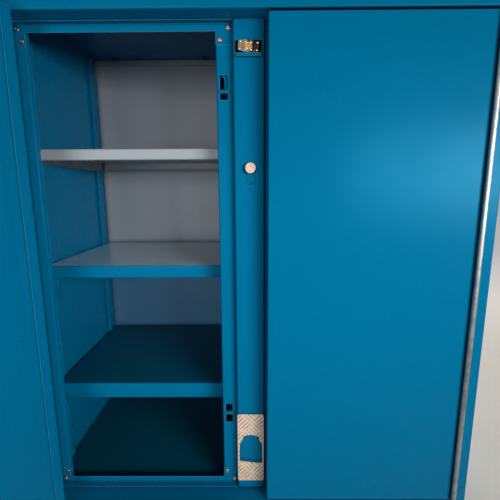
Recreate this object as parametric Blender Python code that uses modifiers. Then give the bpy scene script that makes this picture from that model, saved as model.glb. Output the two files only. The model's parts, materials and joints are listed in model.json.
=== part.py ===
"""Jobsite storage cabinet: a steel cabinet whose two doors close against a recessed lock column.

Metres, +Z up. The origin is on the floor under the middle of the cabinet, +X to the right and +Y to the back.
The left door stands open, the right door is closed, and the lock bar is up, where it leaves both doors free.
"""

import math

import bmesh
import bpy
from mathutils import Matrix, Vector

# Body shell
CABINET_WIDTH = 1.2192
CABINET_DEPTH = 0.6096
SKID_HEIGHT = 0.100
SKID_WIDTH = 0.076
SILL_HEIGHT = 0.038
OPENING_HEIGHT = 1.280
HEADER_HEIGHT = 0.106
SHEET = 0.002
BEND_RADIUS = 0.0035
BEND_STEPS = 2
CLEARANCE = 0.0003
JAMB_FACE = 0.036
SOFFIT_DEPTH = 0.124
SOFFIT_RETURN = 0.020
REAR_FLANGE = 0.024
TOE_RETURN = 0.030

# Inner frame of each door opening
RAIL_FACE = 0.0205
CORNER_EAR = 0.051
FRAME_TUCK = 0.001
HINGE_STILE_SHOW = 0.026
HINGE_STILE_TUCK = 0.012
HINGE_STILE_RETURN = 0.015
CORNER_TONGUE_INSET = 0.004

# Lock column
POST_WIDTH = 0.0762
POST_RECESS = 0.0483
POST_DEPTH = 0.0184
COLUMN_WIDTH = 0.1624
COLUMN_DEPTH = 0.056
COLUMN_LIP = 0.014
HOOK_SLOT_WIDTH = 0.0198
HOOK_SLOT_INSET = 0.0092
HOOK_SLOT_HEIGHT = 0.0578
HOOK_SLOT_WEB = 0.0095
TOP_SLOT_WEB_RISE = 0.0145
BOTTOM_SLOT_WEB_RISE = 0.0245
TOP_SLOT_DROP = 0.1204
BOTTOM_SLOT_RISE = 0.2052
SLOT_BEAD_RISE = 0.005

# Lock bar
BAR_TRAVEL = 0.028
BAR_THICKNESS = 0.003
BAR_SIDE_GAP = 0.0015
BAR_FACE_GAP = 0.0005
BAR_FOOT = 0.060
BAR_HEAD_GAP = 0.0085
KNOB_RADIUS = 0.01325
KNOB_SLOT_GAP = 0.00075
KNOB_PROUD = 0.014
KNOB_CHAMFER = 0.002
KNOB_SIDES = 24
KNOB_DROP = 0.347
KNOB_ACROSS = 0.0028
FINGER_SETBACK = 0.009
FINGER_THICKNESS = 0.004
FINGER_HOOK_GAP = 0.0025
FINGER_WEB_GAP = 0.004
FINGER_SHOULDER = 0.003
SPACER_WIDTH = 0.030
GUIDE_HEIGHT = 0.030
GUIDE_FINGER_GAP = 0.017

# Padlock and the two openings that guard padlocks
WINDOW_WIDTH = 0.0685
WINDOW_HEIGHT = 0.0357
WINDOW_DROP = 0.0476
WINDOW_CORNER = 0.003
POCKET_WIDTH = 0.062
POCKET_HEIGHT = 0.0312
POCKET_SHEET = 0.0015
POCKET_FLANGE = 0.0045
POCKET_BACK_GAP = 0.001
POCKET_LEDGE_WIDTH = 0.060
POCKET_LEDGE_LIP = 0.0070
POCKET_LEDGE_EASE = 0.0002
PADLOCK_WIDTH = 0.0505
PADLOCK_EDGE = 0.0225
PADLOCK_MIDDLE = 0.0280
PADLOCK_LENGTH = 0.042
PADLOCK_CORNER = 0.003
PADLOCK_PROUD = 0.0103
PADLOCK_TILT = math.radians(5.3)
PADLOCK_CHAMFER = 0.001
PADLOCK_PLATES = 12
PADLOCK_PLATE_EDGE = 0.0005
PADLOCK_GROOVE = 0.0004
PLUG_RADIUS = 0.0062
PLUG_LENGTH = 0.020
SHACKLE_RADIUS = 0.004
SHACKLE_SPACING = 0.032
SHACKLE_LEG = 0.014
SHACKLE_ENTRY = 0.014
SHACKLE_HOLE_GAP = 0.0005
STAPLE_THICKNESS = 0.004
STAPLE_HOLE_GAP = 0.0022
STAPLE_RIM = 0.005
TREAD_WIDTH = 0.0755
TREAD_HEIGHT = 0.2165
TREAD_THICKNESS = 0.003
TREAD_CORNER = 0.005
TREAD_RISE = 0.027
GUARD_RISE = 0.0880
GUARD_ACROSS = 0.0008
GUARD_FOOT_WIDTH = 0.0670
GUARD_FOOT_CORNER = 0.005
GUARD_FOOT_SLANT = 0.090
GUARD_BODY_HEIGHT = 0.0605
GUARD_SHOULDER_WIDTH = 0.0650
GUARD_SHOULDER_RISE = 0.0130
GUARD_NECK_RISE = 0.0063
GUARD_BOW_WIDTH = 0.0475
GUARD_BOW_RISE = 0.0100
GUARD_LIP = 0.0010
GUARD_LEDGE = 0.0025

# Doors and hinges
DOOR_POST_GAP = 0.0075
DOOR_EDGE_GAP = 0.0054
DOOR_DEPTH = 0.058
DOOR_LIP = 0.028
LINER_BORDER = 0.045
LINER_SLOPE = 0.008
LINER_RISE = 0.005
HOOK_THICKNESS = 0.003
HOOK_SIDE_GAP = 0.0005
HOOK_NOSE = 0.0045
HOOK_NOSE_GAP = 0.0013
HOOK_HEIGHT = 0.020
HOOK_FOOT = 0.021
HINGE_LEAF = 0.002
HINGE_LEAF_WIDTH = 0.038
HINGE_RADIUS = 0.0065
HINGE_PIN_RADIUS = 0.0040
HINGE_PIN_GAP = 0.0004
HINGE_PROUD = 0.0005
HINGE_END_GAP = 0.012
HINGE_KNUCKLES = 15
HINGE_KNUCKLE_GAP = 0.0003
HINGE_PIN_HEAD = 0.003
LEFT_DOOR_ANGLE = math.radians(110)

# Shelves
SHELF_RISES = {"upper": 0.9926, "middle": 0.6630, "lower": 0.2906}
SHELF_RECESS = 0.130
SHELF_LIPS = {"upper": 0.0305, "middle": 0.037, "lower": 0.037}
SHELF_RETURN = 0.010
SHELF_REAR_GAP = 0.006
SHELF_SIDE_GAP = 0.002
STANDARD_WIDTH = 0.028
STANDARD_DEPTH = 0.010
STANDARD_INSET = 0.035
STANDARD_TOP_GAP = 0.020
STANDARD_SLOT_WIDTH = 0.006
STANDARD_SLOT_HEIGHT = 0.018
STANDARD_SLOT_PITCH = 0.100
BRACKET_THICKNESS = 0.0025
BRACKET_TAB = 0.025
BRACKET_LEG = 0.035
SHELF_RAIL_HEIGHT = 0.057
SHELF_RAIL_RETURN = 0.015
SHELF_RAIL_SETBACK = 0.0125

# Levels and planes worked out from the sizes above
HALF_WIDTH = CABINET_WIDTH / 2
Y_FRONT = -CABINET_DEPTH / 2
Y_BACK = CABINET_DEPTH / 2
Y_POST = Y_FRONT + POST_RECESS
Y_FRAME = Y_POST + POST_DEPTH
Y_COLUMN = Y_FRAME + COLUMN_DEPTH
Y_WALL = Y_BACK - SHEET - CLEARANCE
Z_BASE = SKID_HEIGHT
Z_SILL = Z_BASE + SILL_HEIGHT
Z_SOFFIT = Z_SILL + OPENING_HEIGHT
Z_TOP = Z_SOFFIT + HEADER_HEIGHT
INSIDE = HALF_WIDTH - SHEET - CLEARANCE
JAMB = HALF_WIDTH - JAMB_FACE
POST_INSIDE = POST_WIDTH / 2 - SHEET
FRAME_INNER = POST_INSIDE - FRAME_TUCK
FRAME_LOCK_EDGE = COLUMN_WIDTH / 2
FRAME_HINGE_EDGE = JAMB - HINGE_STILE_SHOW
FRAME_OUTER = JAMB + HINGE_STILE_TUCK
SLOT_FEET = {
    "lower": Z_SILL + BOTTOM_SLOT_RISE,
    "upper": Z_SOFFIT - TOP_SLOT_DROP - HOOK_SLOT_HEIGHT,
}
SLOT_WEBS = {
    "lower": SLOT_FEET["lower"] + BOTTOM_SLOT_WEB_RISE,
    "upper": SLOT_FEET["upper"] + TOP_SLOT_WEB_RISE,
}
SLOT_OUTER = FRAME_LOCK_EDGE - HOOK_SLOT_INSET
SLOT_INNER = SLOT_OUTER - HOOK_SLOT_WIDTH
WINDOW_TOP = Z_SOFFIT - WINDOW_DROP
WINDOW_FOOT = WINDOW_TOP - WINDOW_HEIGHT
Y_BAR = Y_POST + SHEET + BAR_FACE_GAP
BAR_HALF_WIDTH = POST_INSIDE - BAR_SIDE_GAP
BAR_HEAD = WINDOW_FOOT - BAR_HEAD_GAP
Z_KNOB = Z_SOFFIT - KNOB_DROP
Y_FINGER = Y_FRAME + FINGER_SETBACK
FINGER_FEET = {word: web + HOOK_SLOT_WEB + FINGER_WEB_GAP for word, web in SLOT_WEBS.items()}
FINGER_LENGTH = 2 * BAR_TRAVEL
GUIDE_FEET = {
    "lower": FINGER_FEET["lower"] + FINGER_LENGTH + GUIDE_FINGER_GAP,
    "upper": FINGER_FEET["upper"] - BAR_TRAVEL - GUIDE_FINGER_GAP - GUIDE_HEIGHT,
}
GUIDE_FEET["middle"] = (GUIDE_FEET["lower"] + GUIDE_FEET["upper"]) / 2
HOOK_OUTER = SLOT_OUTER - HOOK_SIDE_GAP
HOOK_FOOT_Y = Y_FRONT + DOOR_DEPTH + CLEARANCE
HOOK_TIP_Y = Y_FINGER + FINGER_THICKNESS + HOOK_NOSE_GAP + HOOK_THICKNESS
HINGE_GAP = 2 * HINGE_LEAF + 4 * CLEARANCE
HINGE_X = JAMB - HINGE_GAP / 2
HINGE_Y = Y_FRONT - HINGE_RADIUS - HINGE_PROUD
HINGE_LENGTH = OPENING_HEIGHT - 2 * HINGE_END_GAP
STANDARD_FACE = INSIDE - STANDARD_DEPTH
Y_SHELF = Y_FRONT + SHELF_RECESS
Y_SHELF_BACK = Y_WALL - SHEET - SHELF_REAR_GAP
STANDARD_PLACES = {
    "front": Y_SHELF + STANDARD_INSET,
    "rear": Y_SHELF_BACK - STANDARD_INSET - STANDARD_WIDTH,
}
SIDES = {"left": -1, "right": 1}

# How a flat piece is turned: the outline's first axis and its second axis in the world
FACING = {
    "Z": (0, 0, 0),
    "Y": (math.pi / 2, 0, 0),
    "X": (math.pi / 2, 0, math.pi / 2),
}


def clear_scene():
    for old in list(bpy.data.objects):
        bpy.data.objects.remove(old, do_unlink=True)


def new_collection(name):
    collection = bpy.data.collections.new(name)
    bpy.context.scene.collection.children.link(collection)
    return collection


def new_material(name, colour, roughness, metallic):
    material = bpy.data.materials.new(name)
    material.use_nodes = True
    shader = material.node_tree.nodes["Principled BSDF"]
    shader.inputs["Base Color"].default_value = (*colour, 1.0)
    shader.inputs["Roughness"].default_value = roughness
    shader.inputs["Metallic"].default_value = metallic
    material.diffuse_color = (*colour, 1.0)
    return material


clear_scene()
PARTS = new_collection("Jobsite storage cabinet")
CUTTERS = new_collection("Cutters")
PAINT = new_material("blue powder coat", (0.004, 0.150, 0.300), 0.35, 0.0)
GREY = new_material("grey powder coat", (0.38, 0.43, 0.46), 0.45, 0.0)
ZINC = new_material("zinc plated steel", (0.55, 0.56, 0.58), 0.35, 1.0)
TREAD = new_material("aluminium tread plate", (0.80, 0.76, 0.71), 0.35, 1.0)
TURNED = new_material("turned steel", (0.74, 0.68, 0.62), 0.25, 1.0)
LAMINATED = new_material("laminated steel", (0.45, 0.45, 0.46), 0.35, 1.0)
BRASS = new_material("brass", (0.78, 0.50, 0.18), 0.30, 1.0)


# Outlines
def circle(radius, sides, centre=(0.0, 0.0)):
    turn = 2 * math.pi / sides
    return [
        (centre[0] + radius * math.cos(i * turn), centre[1] + radius * math.sin(i * turn))
        for i in range(sides)
    ]


def rectangle(low, high):
    return [(low[0], low[1]), (high[0], low[1]), (high[0], high[1]), (low[0], high[1])]


def arc(centre, radii, start, end, steps):
    """Points of an elliptical arc between two angles in degrees."""
    points = []
    for i in range(steps + 1):
        angle = math.radians(start + (end - start) * i / steps)
        points.append((centre[0] + radii[0] * math.cos(angle), centre[1] + radii[1] * math.sin(angle)))
    return points


def rounded_rectangle(low, high, radius, steps=3):
    near = (low[0] + radius, low[1] + radius)
    far = (high[0] - radius, high[1] - radius)
    size = (radius, radius)
    return (
        arc(near, size, 180, 270, steps)
        + arc((far[0], near[1]), size, 270, 360, steps)
        + arc(far, size, 0, 90, steps)
        + arc((near[0], far[1]), size, 90, 180, steps)
    )


def upright_slot(centre, radius, travel, steps=8):
    """A round-ended slot that reaches down from its upper centre."""
    low = (centre[0], centre[1] - travel)
    return arc(centre, (radius, radius), 0, 180, steps) + arc(low, (radius, radius), 180, 360, steps)


def guard_outline(lip=0.0, ledge=0.0):
    """The padlock-shaped opening: a body with a slanted foot and sloped shoulders, a neck and a flat bow."""
    half = GUARD_FOOT_WIDTH / 2 - lip
    shoulder_half = GUARD_SHOULDER_WIDTH / 2 - lip
    foot = Z_SILL + GUARD_RISE + lip + ledge
    fall = GUARD_FOOT_SLANT * half
    shoulder = Z_SILL + GUARD_RISE + GUARD_BODY_HEIGHT
    neck = shoulder + GUARD_SHOULDER_RISE
    corner = GUARD_FOOT_CORNER
    size = (corner, corner)
    bow = (GUARD_BOW_WIDTH / 2 - lip, GUARD_BOW_RISE - lip)
    points = (
        [(-bow[0], neck), (-shoulder_half, shoulder)]
        + arc((-half + corner, foot + fall + corner), size, 180, 270, 3)
        + arc((half - corner, foot - fall + corner), size, 270, 360, 3)
        + [(shoulder_half, shoulder), (bow[0], neck)]
        + arc((0.0, neck + GUARD_NECK_RISE), bow, 0, 180, 12)
    )
    return [(x + GUARD_ACROSS, z) for x, z in points]


def mirrored(points, side):
    return [(side * u, v) for u, v in points]


# Making objects
def add_object(name, data, material, collection=PARTS, parent=None):
    made = bpy.data.objects.new(name, data)
    collection.objects.link(made)
    if material is not None:
        data.materials.append(material)
    made.parent = parent
    return made


def finish_mesh(name, work):
    """Welds a bmesh, turns its faces outwards and returns it as a mesh."""
    bmesh.ops.remove_doubles(work, verts=work.verts, dist=1e-6)
    bmesh.ops.recalc_face_normals(work, faces=work.faces)
    mesh = bpy.data.meshes.new(name)
    work.to_mesh(mesh)
    work.free()
    return mesh


def evaluated_mesh(source):
    """The finished mesh of a helper object, which is then removed."""
    bpy.context.view_layer.update()
    graph = bpy.context.evaluated_depsgraph_get()
    mesh = bpy.data.meshes.new_from_object(source.evaluated_get(graph))
    bpy.data.objects.remove(source, do_unlink=True)
    return mesh


def plate_mesh(name, loops, thickness):
    """A flat sheet with the given outlines. An outline inside another one is a hole in it."""
    curve = bpy.data.curves.new(name, "CURVE")
    curve.dimensions = "2D"
    curve.fill_mode = "BOTH"
    curve.extrude = thickness / 2
    for loop in loops:
        spline = curve.splines.new("POLY")
        spline.points.add(len(loop) - 1)
        for point, (u, v) in zip(spline.points, loop):
            point.co = (u, v, 0.0, 1.0)
        spline.use_cyclic_u = True
    flat = evaluated_mesh(add_object(name, curve, None))
    work = bmesh.new()
    work.from_mesh(flat)
    bpy.data.meshes.remove(flat)
    return finish_mesh(name, work)


def plate(name, loops, thickness, facing, place, material, parent=None, collection=PARTS):
    made = add_object(name, plate_mesh(name, loops, thickness), material, collection, parent)
    made.rotation_euler = FACING[facing]
    made.location = place
    return made


def turned_mesh(name, profile, sides):
    """A turned shape. The profile is (radius, height) from the top, down the outer side."""
    line = bpy.data.meshes.new(name)
    points = [(radius, 0.0, height) for radius, height in profile]
    line.from_pydata(points, [(i, i + 1) for i in range(len(points) - 1)], [])
    helper = add_object(name, line, None)
    screw = helper.modifiers.new("Screw", "SCREW")
    screw.steps = sides
    screw.render_steps = sides
    screw.use_merge_vertices = True
    screw.merge_threshold = 1e-5
    return evaluated_mesh(helper)


def boxes_mesh(name, corners):
    """One box for each pair of low and high corners."""
    work = bmesh.new()
    for low, high in corners:
        low, high = Vector(low), Vector(high)
        size = high - low
        scale = Matrix.Diagonal((*size, 1.0))
        bmesh.ops.create_cube(work, size=1.0, matrix=Matrix.Translation((low + high) / 2) @ scale)
    return finish_mesh(name, work)


def as_cutter(cutter):
    cutter.hide_render = True
    cutter.display_type = "WIRE"
    return cutter


def combine(target, other, operation):
    modifier = target.modifiers.new(operation.title(), "BOOLEAN")
    modifier.operation = operation
    modifier.solver = "EXACT"
    modifier.object = other


def cut_boxes(target, corners, parent=None):
    """Cuts boxes out of a piece. The corners are in the frame of the parent."""
    name = target.name + "_cutter"
    cutter = add_object(name, boxes_mesh(name, corners), None, CUTTERS, parent)
    combine(target, as_cutter(cutter), "DIFFERENCE")


def middle_line(path, thickness):
    """The line through the middle of a sheet whose face follows the path, with its metal on the left."""
    points = [Vector(point) for point in path]
    ways = [(b - a).normalized() for a, b in zip(points, points[1:])]
    lefts = [Vector((-way.y, way.x)) for way in ways]
    line = []
    for i, point in enumerate(points):
        before = lefts[max(i - 1, 0)]
        after = lefts[min(i, len(lefts) - 1)]
        line.append(point + (before + after) * (thickness / 2) / (1 + before.dot(after)))
    return line


def bent(line, radius, steps=BEND_STEPS):
    """The line with its corners rounded. A bend takes at most half of the shorter run beside it."""
    points = [line[0]]
    for before, corner, after in zip(line, line[1:], line[2:]):
        back = before - corner
        ahead = after - corner
        half = back.angle(ahead) / 2
        reach = min(radius / math.tan(half), 0.5 * back.length, 0.5 * ahead.length)
        start = corner + back.normalized() * reach
        end = corner + ahead.normalized() * reach
        middle = (back.normalized() + ahead.normalized()).normalized()
        centre = corner + middle * reach / math.cos(half)
        sweep = math.pi - 2 * half
        for i in range(steps + 1):
            share = sweep * i / steps
            ray = (start - centre) * math.sin(sweep - share) + (end - centre) * math.sin(share)
            points.append(centre + ray / math.sin(sweep))
    points.append(line[-1])
    return points


AXES = {"X": (1, 2, 0), "Y": (0, 2, 1), "Z": (0, 1, 2)}


def fold(name, path, span, axis, material=PAINT, thickness=SHEET, side=1, parent=None):
    """A folded sheet: a path in the plane across the axis, run along the axis over the span.

    The path follows one face of the sheet, with the metal on its left. A side of -1 mirrors it in X.
    """
    line = bent(middle_line(path, thickness), BEND_RADIUS)
    first, second, along = AXES[axis]
    work = bmesh.new()
    row = []
    for point in line:
        place = [0.0, 0.0, 0.0]
        place[first], place[second], place[along] = point.x, point.y, span[0]
        row.append(work.verts.new((side * place[0], place[1], place[2])))
    edges = [work.edges.new(pair) for pair in zip(row, row[1:])]
    swept = bmesh.ops.extrude_edge_only(work, edges=edges)["geom"]
    reach = [0.0, 0.0, 0.0]
    reach[along] = (side if axis == "X" else 1) * (span[1] - span[0])
    moved = [item for item in swept if isinstance(item, bmesh.types.BMVert)]
    bmesh.ops.translate(work, verts=moved, vec=reach)
    made = add_object(name, finish_mesh(name, work), material, PARTS, parent)
    solidify = made.modifiers.new("Sheet", "SOLIDIFY")
    solidify.thickness = thickness
    solidify.offset = 0.0
    solidify.use_even_offset = True
    return made


def empty(name, place, turn=(0.0, 0.0, 0.0)):
    made = bpy.data.objects.new(name, None)
    PARTS.objects.link(made)
    made.location = place
    made.rotation_euler = turn
    return made


# Body shell
def side_panel(word, side):
    """A side wall folded round the front into the door jamb, which stops between sill and soffit."""
    path = [(-HALF_WIDTH, Y_BACK), (-HALF_WIDTH, Y_FRONT), (-JAMB, Y_FRONT), (-JAMB, Y_FRAME - CLEARANCE)]
    panel = fold(word + "_side_panel", path, (Z_BASE, Z_TOP), "Z", side=-side)
    ends = sorted((side * INSIDE, side * (JAMB - SHEET)))
    low_y, high_y = Y_FRONT - SHEET, Y_FRAME + SHEET
    top = ((ends[0], low_y, Z_SOFFIT - CLEARANCE), (ends[1], high_y, Z_TOP + SHEET))
    foot = ((ends[0], low_y, Z_BASE - SHEET), (ends[1], high_y, Z_SILL + CLEARANCE))
    cut_boxes(panel, [top, foot])


def back_panel():
    outline = rectangle((-INSIDE, Z_BASE), (INSIDE, Z_TOP))
    plate("back_panel", [outline], SHEET, "Y", (0, Y_BACK - SHEET / 2, 0), PAINT)


def top_panel():
    """The roof, header and soffit as one folded sheet, with a flange down in front of the back panel."""
    soffit_end = Y_FRONT + SOFFIT_DEPTH
    path = [
        (Y_WALL, Z_TOP - REAR_FLANGE),
        (Y_WALL, Z_TOP),
        (Y_FRONT, Z_TOP),
        (Y_FRONT, Z_SOFFIT),
        (soffit_end, Z_SOFFIT),
        (soffit_end, Z_SOFFIT + SOFFIT_RETURN),
    ]
    fold("top_panel", path, (-INSIDE, INSIDE), "X")


def floor_panel():
    """The floor, sill and toe face as one folded sheet."""
    path = [
        (Y_WALL - SHEET, Z_SILL + REAR_FLANGE),
        (Y_WALL - SHEET, Z_SILL),
        (Y_FRONT, Z_SILL),
        (Y_FRONT, Z_BASE),
        (Y_FRONT + TOE_RETURN, Z_BASE),
    ]
    fold("floor_panel", path, (-INSIDE, INSIDE), "X")


def skids():
    """Three channels, open upwards, that carry the floor and leave room for forks between them."""
    top = Z_SILL - SHEET - CLEARANCE
    outer = INSIDE - SKID_WIDTH / 2
    for word, centre in (("left", -outer), ("centre", 0.0), ("right", outer)):
        low, high = centre - SKID_WIDTH / 2, centre + SKID_WIDTH / 2
        path = [(low, top), (low, 0.0), (high, 0.0), (high, top)]
        fold(word + "_skid", path, (Y_FRONT + TOE_RETURN + CLEARANCE, Y_WALL), "Y")


# Inner frame
def level(end, distance):
    """A height measured from the soffit down or from the sill up."""
    return Z_SOFFIT - distance if end == "top" else Z_SILL + distance


def rail(word, side, end):
    """A rail with an ear at each end that overlies the stile, and a flange forward along soffit or sill."""
    edges = [
        (FRAME_INNER, CLEARANCE),
        (FRAME_OUTER, CLEARANCE),
        (FRAME_OUTER, CORNER_EAR),
        (FRAME_HINGE_EDGE, CORNER_EAR),
        (FRAME_HINGE_EDGE, RAIL_FACE),
        (FRAME_LOCK_EDGE, RAIL_FACE),
        (FRAME_LOCK_EDGE, CORNER_EAR),
        (FRAME_INNER, CORNER_EAR),
    ]
    outline = [(side * x, level(end, away)) for x, away in edges]
    name = f"{word}_frame_{end}_rail"
    made = plate(name, [outline], SHEET, "Y", (0, Y_FRAME + SHEET / 2, 0), PAINT)
    across = sorted((side * (POST_WIDTH / 2 + CLEARANCE), side * (JAMB - CLEARANCE)))
    heights = sorted((level(end, CLEARANCE), level(end, CLEARANCE + SHEET)))
    low = (across[0], Y_POST, heights[0])
    high = (across[1], Y_FRAME + SHEET / 2, heights[1])
    flange = add_object(name + "_flange", boxes_mesh(name + "_flange", [(low, high)]), PAINT, CUTTERS)
    combine(made, as_cutter(flange), "UNION")


def ear_cuts(side, inner, outer):
    """The room that the ears of both rails take from a stile's face."""
    ends = sorted((side * inner, side * outer))
    deep = Y_FRAME + SHEET + CLEARANCE
    ear = CORNER_EAR + CLEARANCE
    foot = ((ends[0], Y_FRAME - SHEET, Z_SILL - SHEET), (ends[1], deep, Z_SILL + ear))
    top = ((ends[0], Y_FRAME - SHEET, Z_SOFFIT - ear), (ends[1], deep, Z_SOFFIT + SHEET))
    return [foot, top]


def lock_stile(word, side):
    """The stile beside the post, folded back into the column, with two double slots for the door hooks."""
    path = [
        (FRAME_INNER, Y_FRAME),
        (FRAME_LOCK_EDGE, Y_FRAME),
        (FRAME_LOCK_EDGE, Y_COLUMN),
        (FRAME_LOCK_EDGE - COLUMN_LIP, Y_COLUMN),
    ]
    span = (Z_SILL + CLEARANCE, Z_SOFFIT - CLEARANCE)
    stile = fold(word + "_lock_stile", path, span, "Z", side=side)
    ends = sorted((side * SLOT_INNER, side * SLOT_OUTER))
    low_y, high_y = Y_FRAME - SHEET, Y_FRAME + 2 * SHEET
    cuts = ear_cuts(side, FRAME_INNER - SHEET, FRAME_LOCK_EDGE + SHEET)
    for word_of_slot, foot in SLOT_FEET.items():
        web = SLOT_WEBS[word_of_slot]
        cuts.append(((ends[0], low_y, foot), (ends[1], high_y, web)))
        cuts.append(((ends[0], low_y, web + HOOK_SLOT_WEB), (ends[1], high_y, foot + HOOK_SLOT_HEIGHT)))
    cut_boxes(stile, cuts)
    combine(stile, as_cutter(slot_beads(word + "_slot_beads", side)), "UNION")
    join_tongues(stile, side, FRAME_INNER + CORNER_TONGUE_INSET, FRAME_LOCK_EDGE - SHEET / 2)


def slot_beads(name, side):
    """The half-round beads of the webs that part each hook slot in two."""
    half = HOOK_SLOT_WEB / 2
    root = Y_FRAME + SHEET / 2
    loops = []
    for web in SLOT_WEBS.values():
        middle = web + half
        loops.append(arc((root, middle), (SLOT_BEAD_RISE + SHEET / 2, half), 90, 270, 6))
    centre = (side * (SLOT_INNER + SLOT_OUTER) / 2, 0, 0)
    return plate(name, loops, HOOK_SLOT_WIDTH + SHEET, "X", centre, PAINT, collection=CUTTERS)


def join_tongues(stile, side, inner, outer):
    """Fuses the tongues at both ends of a stile, which the ears of the rails overlie."""
    ends = sorted((side * inner, side * outer))
    front = Y_FRAME + SHEET + CLEARANCE
    corners = []
    for end in ("top", "bottom"):
        heights = sorted((level(end, CORNER_TONGUE_INSET), level(end, CORNER_EAR)))
        corners.append(((ends[0], front, heights[0]), (ends[1], front + SHEET, heights[1])))
    name = stile.name + "_tongues"
    tongues = add_object(name, boxes_mesh(name, corners), PAINT, CUTTERS)
    combine(stile, as_cutter(tongues), "UNION")


def hinge_stile(word, side):
    path = [
        (FRAME_HINGE_EDGE, Y_FRAME + HINGE_STILE_RETURN),
        (FRAME_HINGE_EDGE, Y_FRAME),
        (FRAME_OUTER, Y_FRAME),
    ]
    span = (Z_SILL + CLEARANCE, Z_SOFFIT - CLEARANCE)
    stile = fold(word + "_hinge_stile", path, span, "Z", side=side)
    cut_boxes(stile, ear_cuts(side, FRAME_HINGE_EDGE - SHEET, FRAME_OUTER + SHEET))
    join_tongues(stile, side, FRAME_HINGE_EDGE + SHEET / 2, FRAME_OUTER - CORNER_TONGUE_INSET)


# Lock column
def centre_post():
    """The post between the doors, with the padlock window, the knob slot and the lower guard opening."""
    half = POST_WIDTH / 2
    back = Y_FRAME - CLEARANCE
    path = [(-half, back), (-half, Y_POST), (half, Y_POST), (half, back)]
    post = fold("centre_post", path, (Z_SILL + CLEARANCE, Z_SOFFIT - CLEARANCE), "Z")
    window = rounded_rectangle(
        (-WINDOW_WIDTH / 2, WINDOW_FOOT), (WINDOW_WIDTH / 2, WINDOW_TOP), WINDOW_CORNER
    )
    slot = upright_slot((KNOB_ACROSS, Z_KNOB), KNOB_RADIUS + KNOB_SLOT_GAP, BAR_TRAVEL)
    loops = [window, slot, guard_outline(GUARD_LIP, GUARD_LEDGE)]
    middle = (0, Y_POST + SHEET / 2, 0)
    cutter = plate("centre_post_cutter", loops, 4 * SHEET, "Y", middle, None, collection=CUTTERS)
    combine(post, as_cutter(cutter), "DIFFERENCE")


def column_cover():
    """The cover that closes the column behind the lock work."""
    half = FRAME_LOCK_EDGE - SHEET
    outline = rectangle((-half, Z_SILL + CLEARANCE), (half, Z_SOFFIT - CLEARANCE))
    middle = Y_COLUMN + CLEARANCE + SHEET / 2
    plate("column_cover", [outline], SHEET, "Y", (0, middle, 0), PAINT)


def tread_plate():
    half = TREAD_WIDTH / 2
    low, high = Z_SILL + TREAD_RISE, Z_SILL + TREAD_RISE + TREAD_HEIGHT
    outline = rounded_rectangle((-half, low), (half, high), TREAD_CORNER)
    middle = Y_POST - CLEARANCE - TREAD_THICKNESS / 2
    plate("tread_plate", [outline, guard_outline()], TREAD_THICKNESS, "Y", (0, middle, 0), TREAD)


def bar_guides():
    """Straps between the legs of the post, behind the bar."""
    half = POST_INSIDE - CLEARANCE
    front = Y_BAR + BAR_THICKNESS + BAR_FACE_GAP
    for word, foot in GUIDE_FEET.items():
        corners = [((-half, front, foot), (half, front + SHEET, foot + GUIDE_HEIGHT))]
        name = word + "_bar_guide"
        add_object(name, boxes_mesh(name, corners), PAINT)


def lock_bar():
    low, high = Z_SILL + BAR_FOOT, BAR_HEAD
    outline = rounded_rectangle((-BAR_HALF_WIDTH, low), (BAR_HALF_WIDTH, high), 2 * SHEET)
    middle = Y_BAR + BAR_THICKNESS / 2
    plate("lock_bar", [outline], BAR_THICKNESS, "Y", (0, middle, 0), PAINT)


def lock_knob():
    """A turned knob that stands on the bar and comes forward through the slot of the post."""
    length = Y_BAR - CLEARANCE - (Y_POST - KNOB_PROUD)
    profile = [
        (0.0, length - 0.25 * KNOB_CHAMFER),
        (0.45 * KNOB_RADIUS, length - 0.25 * KNOB_CHAMFER),
        (0.55 * KNOB_RADIUS, length),
        (KNOB_RADIUS - KNOB_CHAMFER, length),
        (KNOB_RADIUS, length - KNOB_CHAMFER),
        (KNOB_RADIUS, 0.0),
        (0.0, 0.0),
    ]
    knob = add_object("lock_knob", turned_mesh("lock_knob", profile, KNOB_SIDES), TURNED)
    knob.location = (KNOB_ACROSS, Y_BAR - CLEARANCE, Z_KNOB)
    knob.rotation_euler = FACING["Y"]


def lock_fingers():
    """Plates behind the slots. Down, their broad part stands before the hook noses. The upper one has a
    narrow part below that, which shows in its slot while the bar is up."""
    narrow = HOOK_OUTER - HOOK_THICKNESS - HOOK_NOSE - FINGER_HOOK_GAP
    broad = HOOK_OUTER - HOOK_THICKNESS - HOOK_SIDE_GAP
    middle = Y_FINGER + FINGER_THICKNESS / 2
    seat = Y_BAR + BAR_THICKNESS + CLEARANCE
    width = SPACER_WIDTH / 2
    for word, low in FINGER_FEET.items():
        step = low + BAR_TRAVEL
        high = low + FINGER_LENGTH
        half = [(broad, step), (broad, high)]
        if word == "upper":
            half = [(narrow, low), (narrow, step - FINGER_SHOULDER)] + half
        outline = half + [(-x, z) for x, z in reversed(half)]
        finger = plate(f"{word}_lock_finger", [outline], FINGER_THICKNESS, "Y", (0, middle, 0), PAINT)
        corners = [((-width, seat, high - 2 * width), (width, middle, high - FINGER_SHOULDER))]
        name = finger.name + "_spacer"
        spacer = add_object(name, boxes_mesh(name, corners), PAINT, CUTTERS)
        combine(finger, as_cutter(spacer), "UNION")


# Padlock and its pocket
POCKET_FOOT = WINDOW_TOP - POCKET_HEIGHT
POCKET_FRONT = Y_POST + SHEET / 2 + BEND_RADIUS + CLEARANCE
POCKET_BACK = Y_COLUMN - POCKET_SHEET - POCKET_BACK_GAP
PADLOCK_FACE = Y_POST - PADLOCK_PROUD
PADLOCK_RISE = (PADLOCK_MIDDLE - PADLOCK_EDGE) / 2
PADLOCK_BOW = ((PADLOCK_WIDTH / 2) ** 2 + PADLOCK_RISE**2) / (2 * PADLOCK_RISE)


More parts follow.
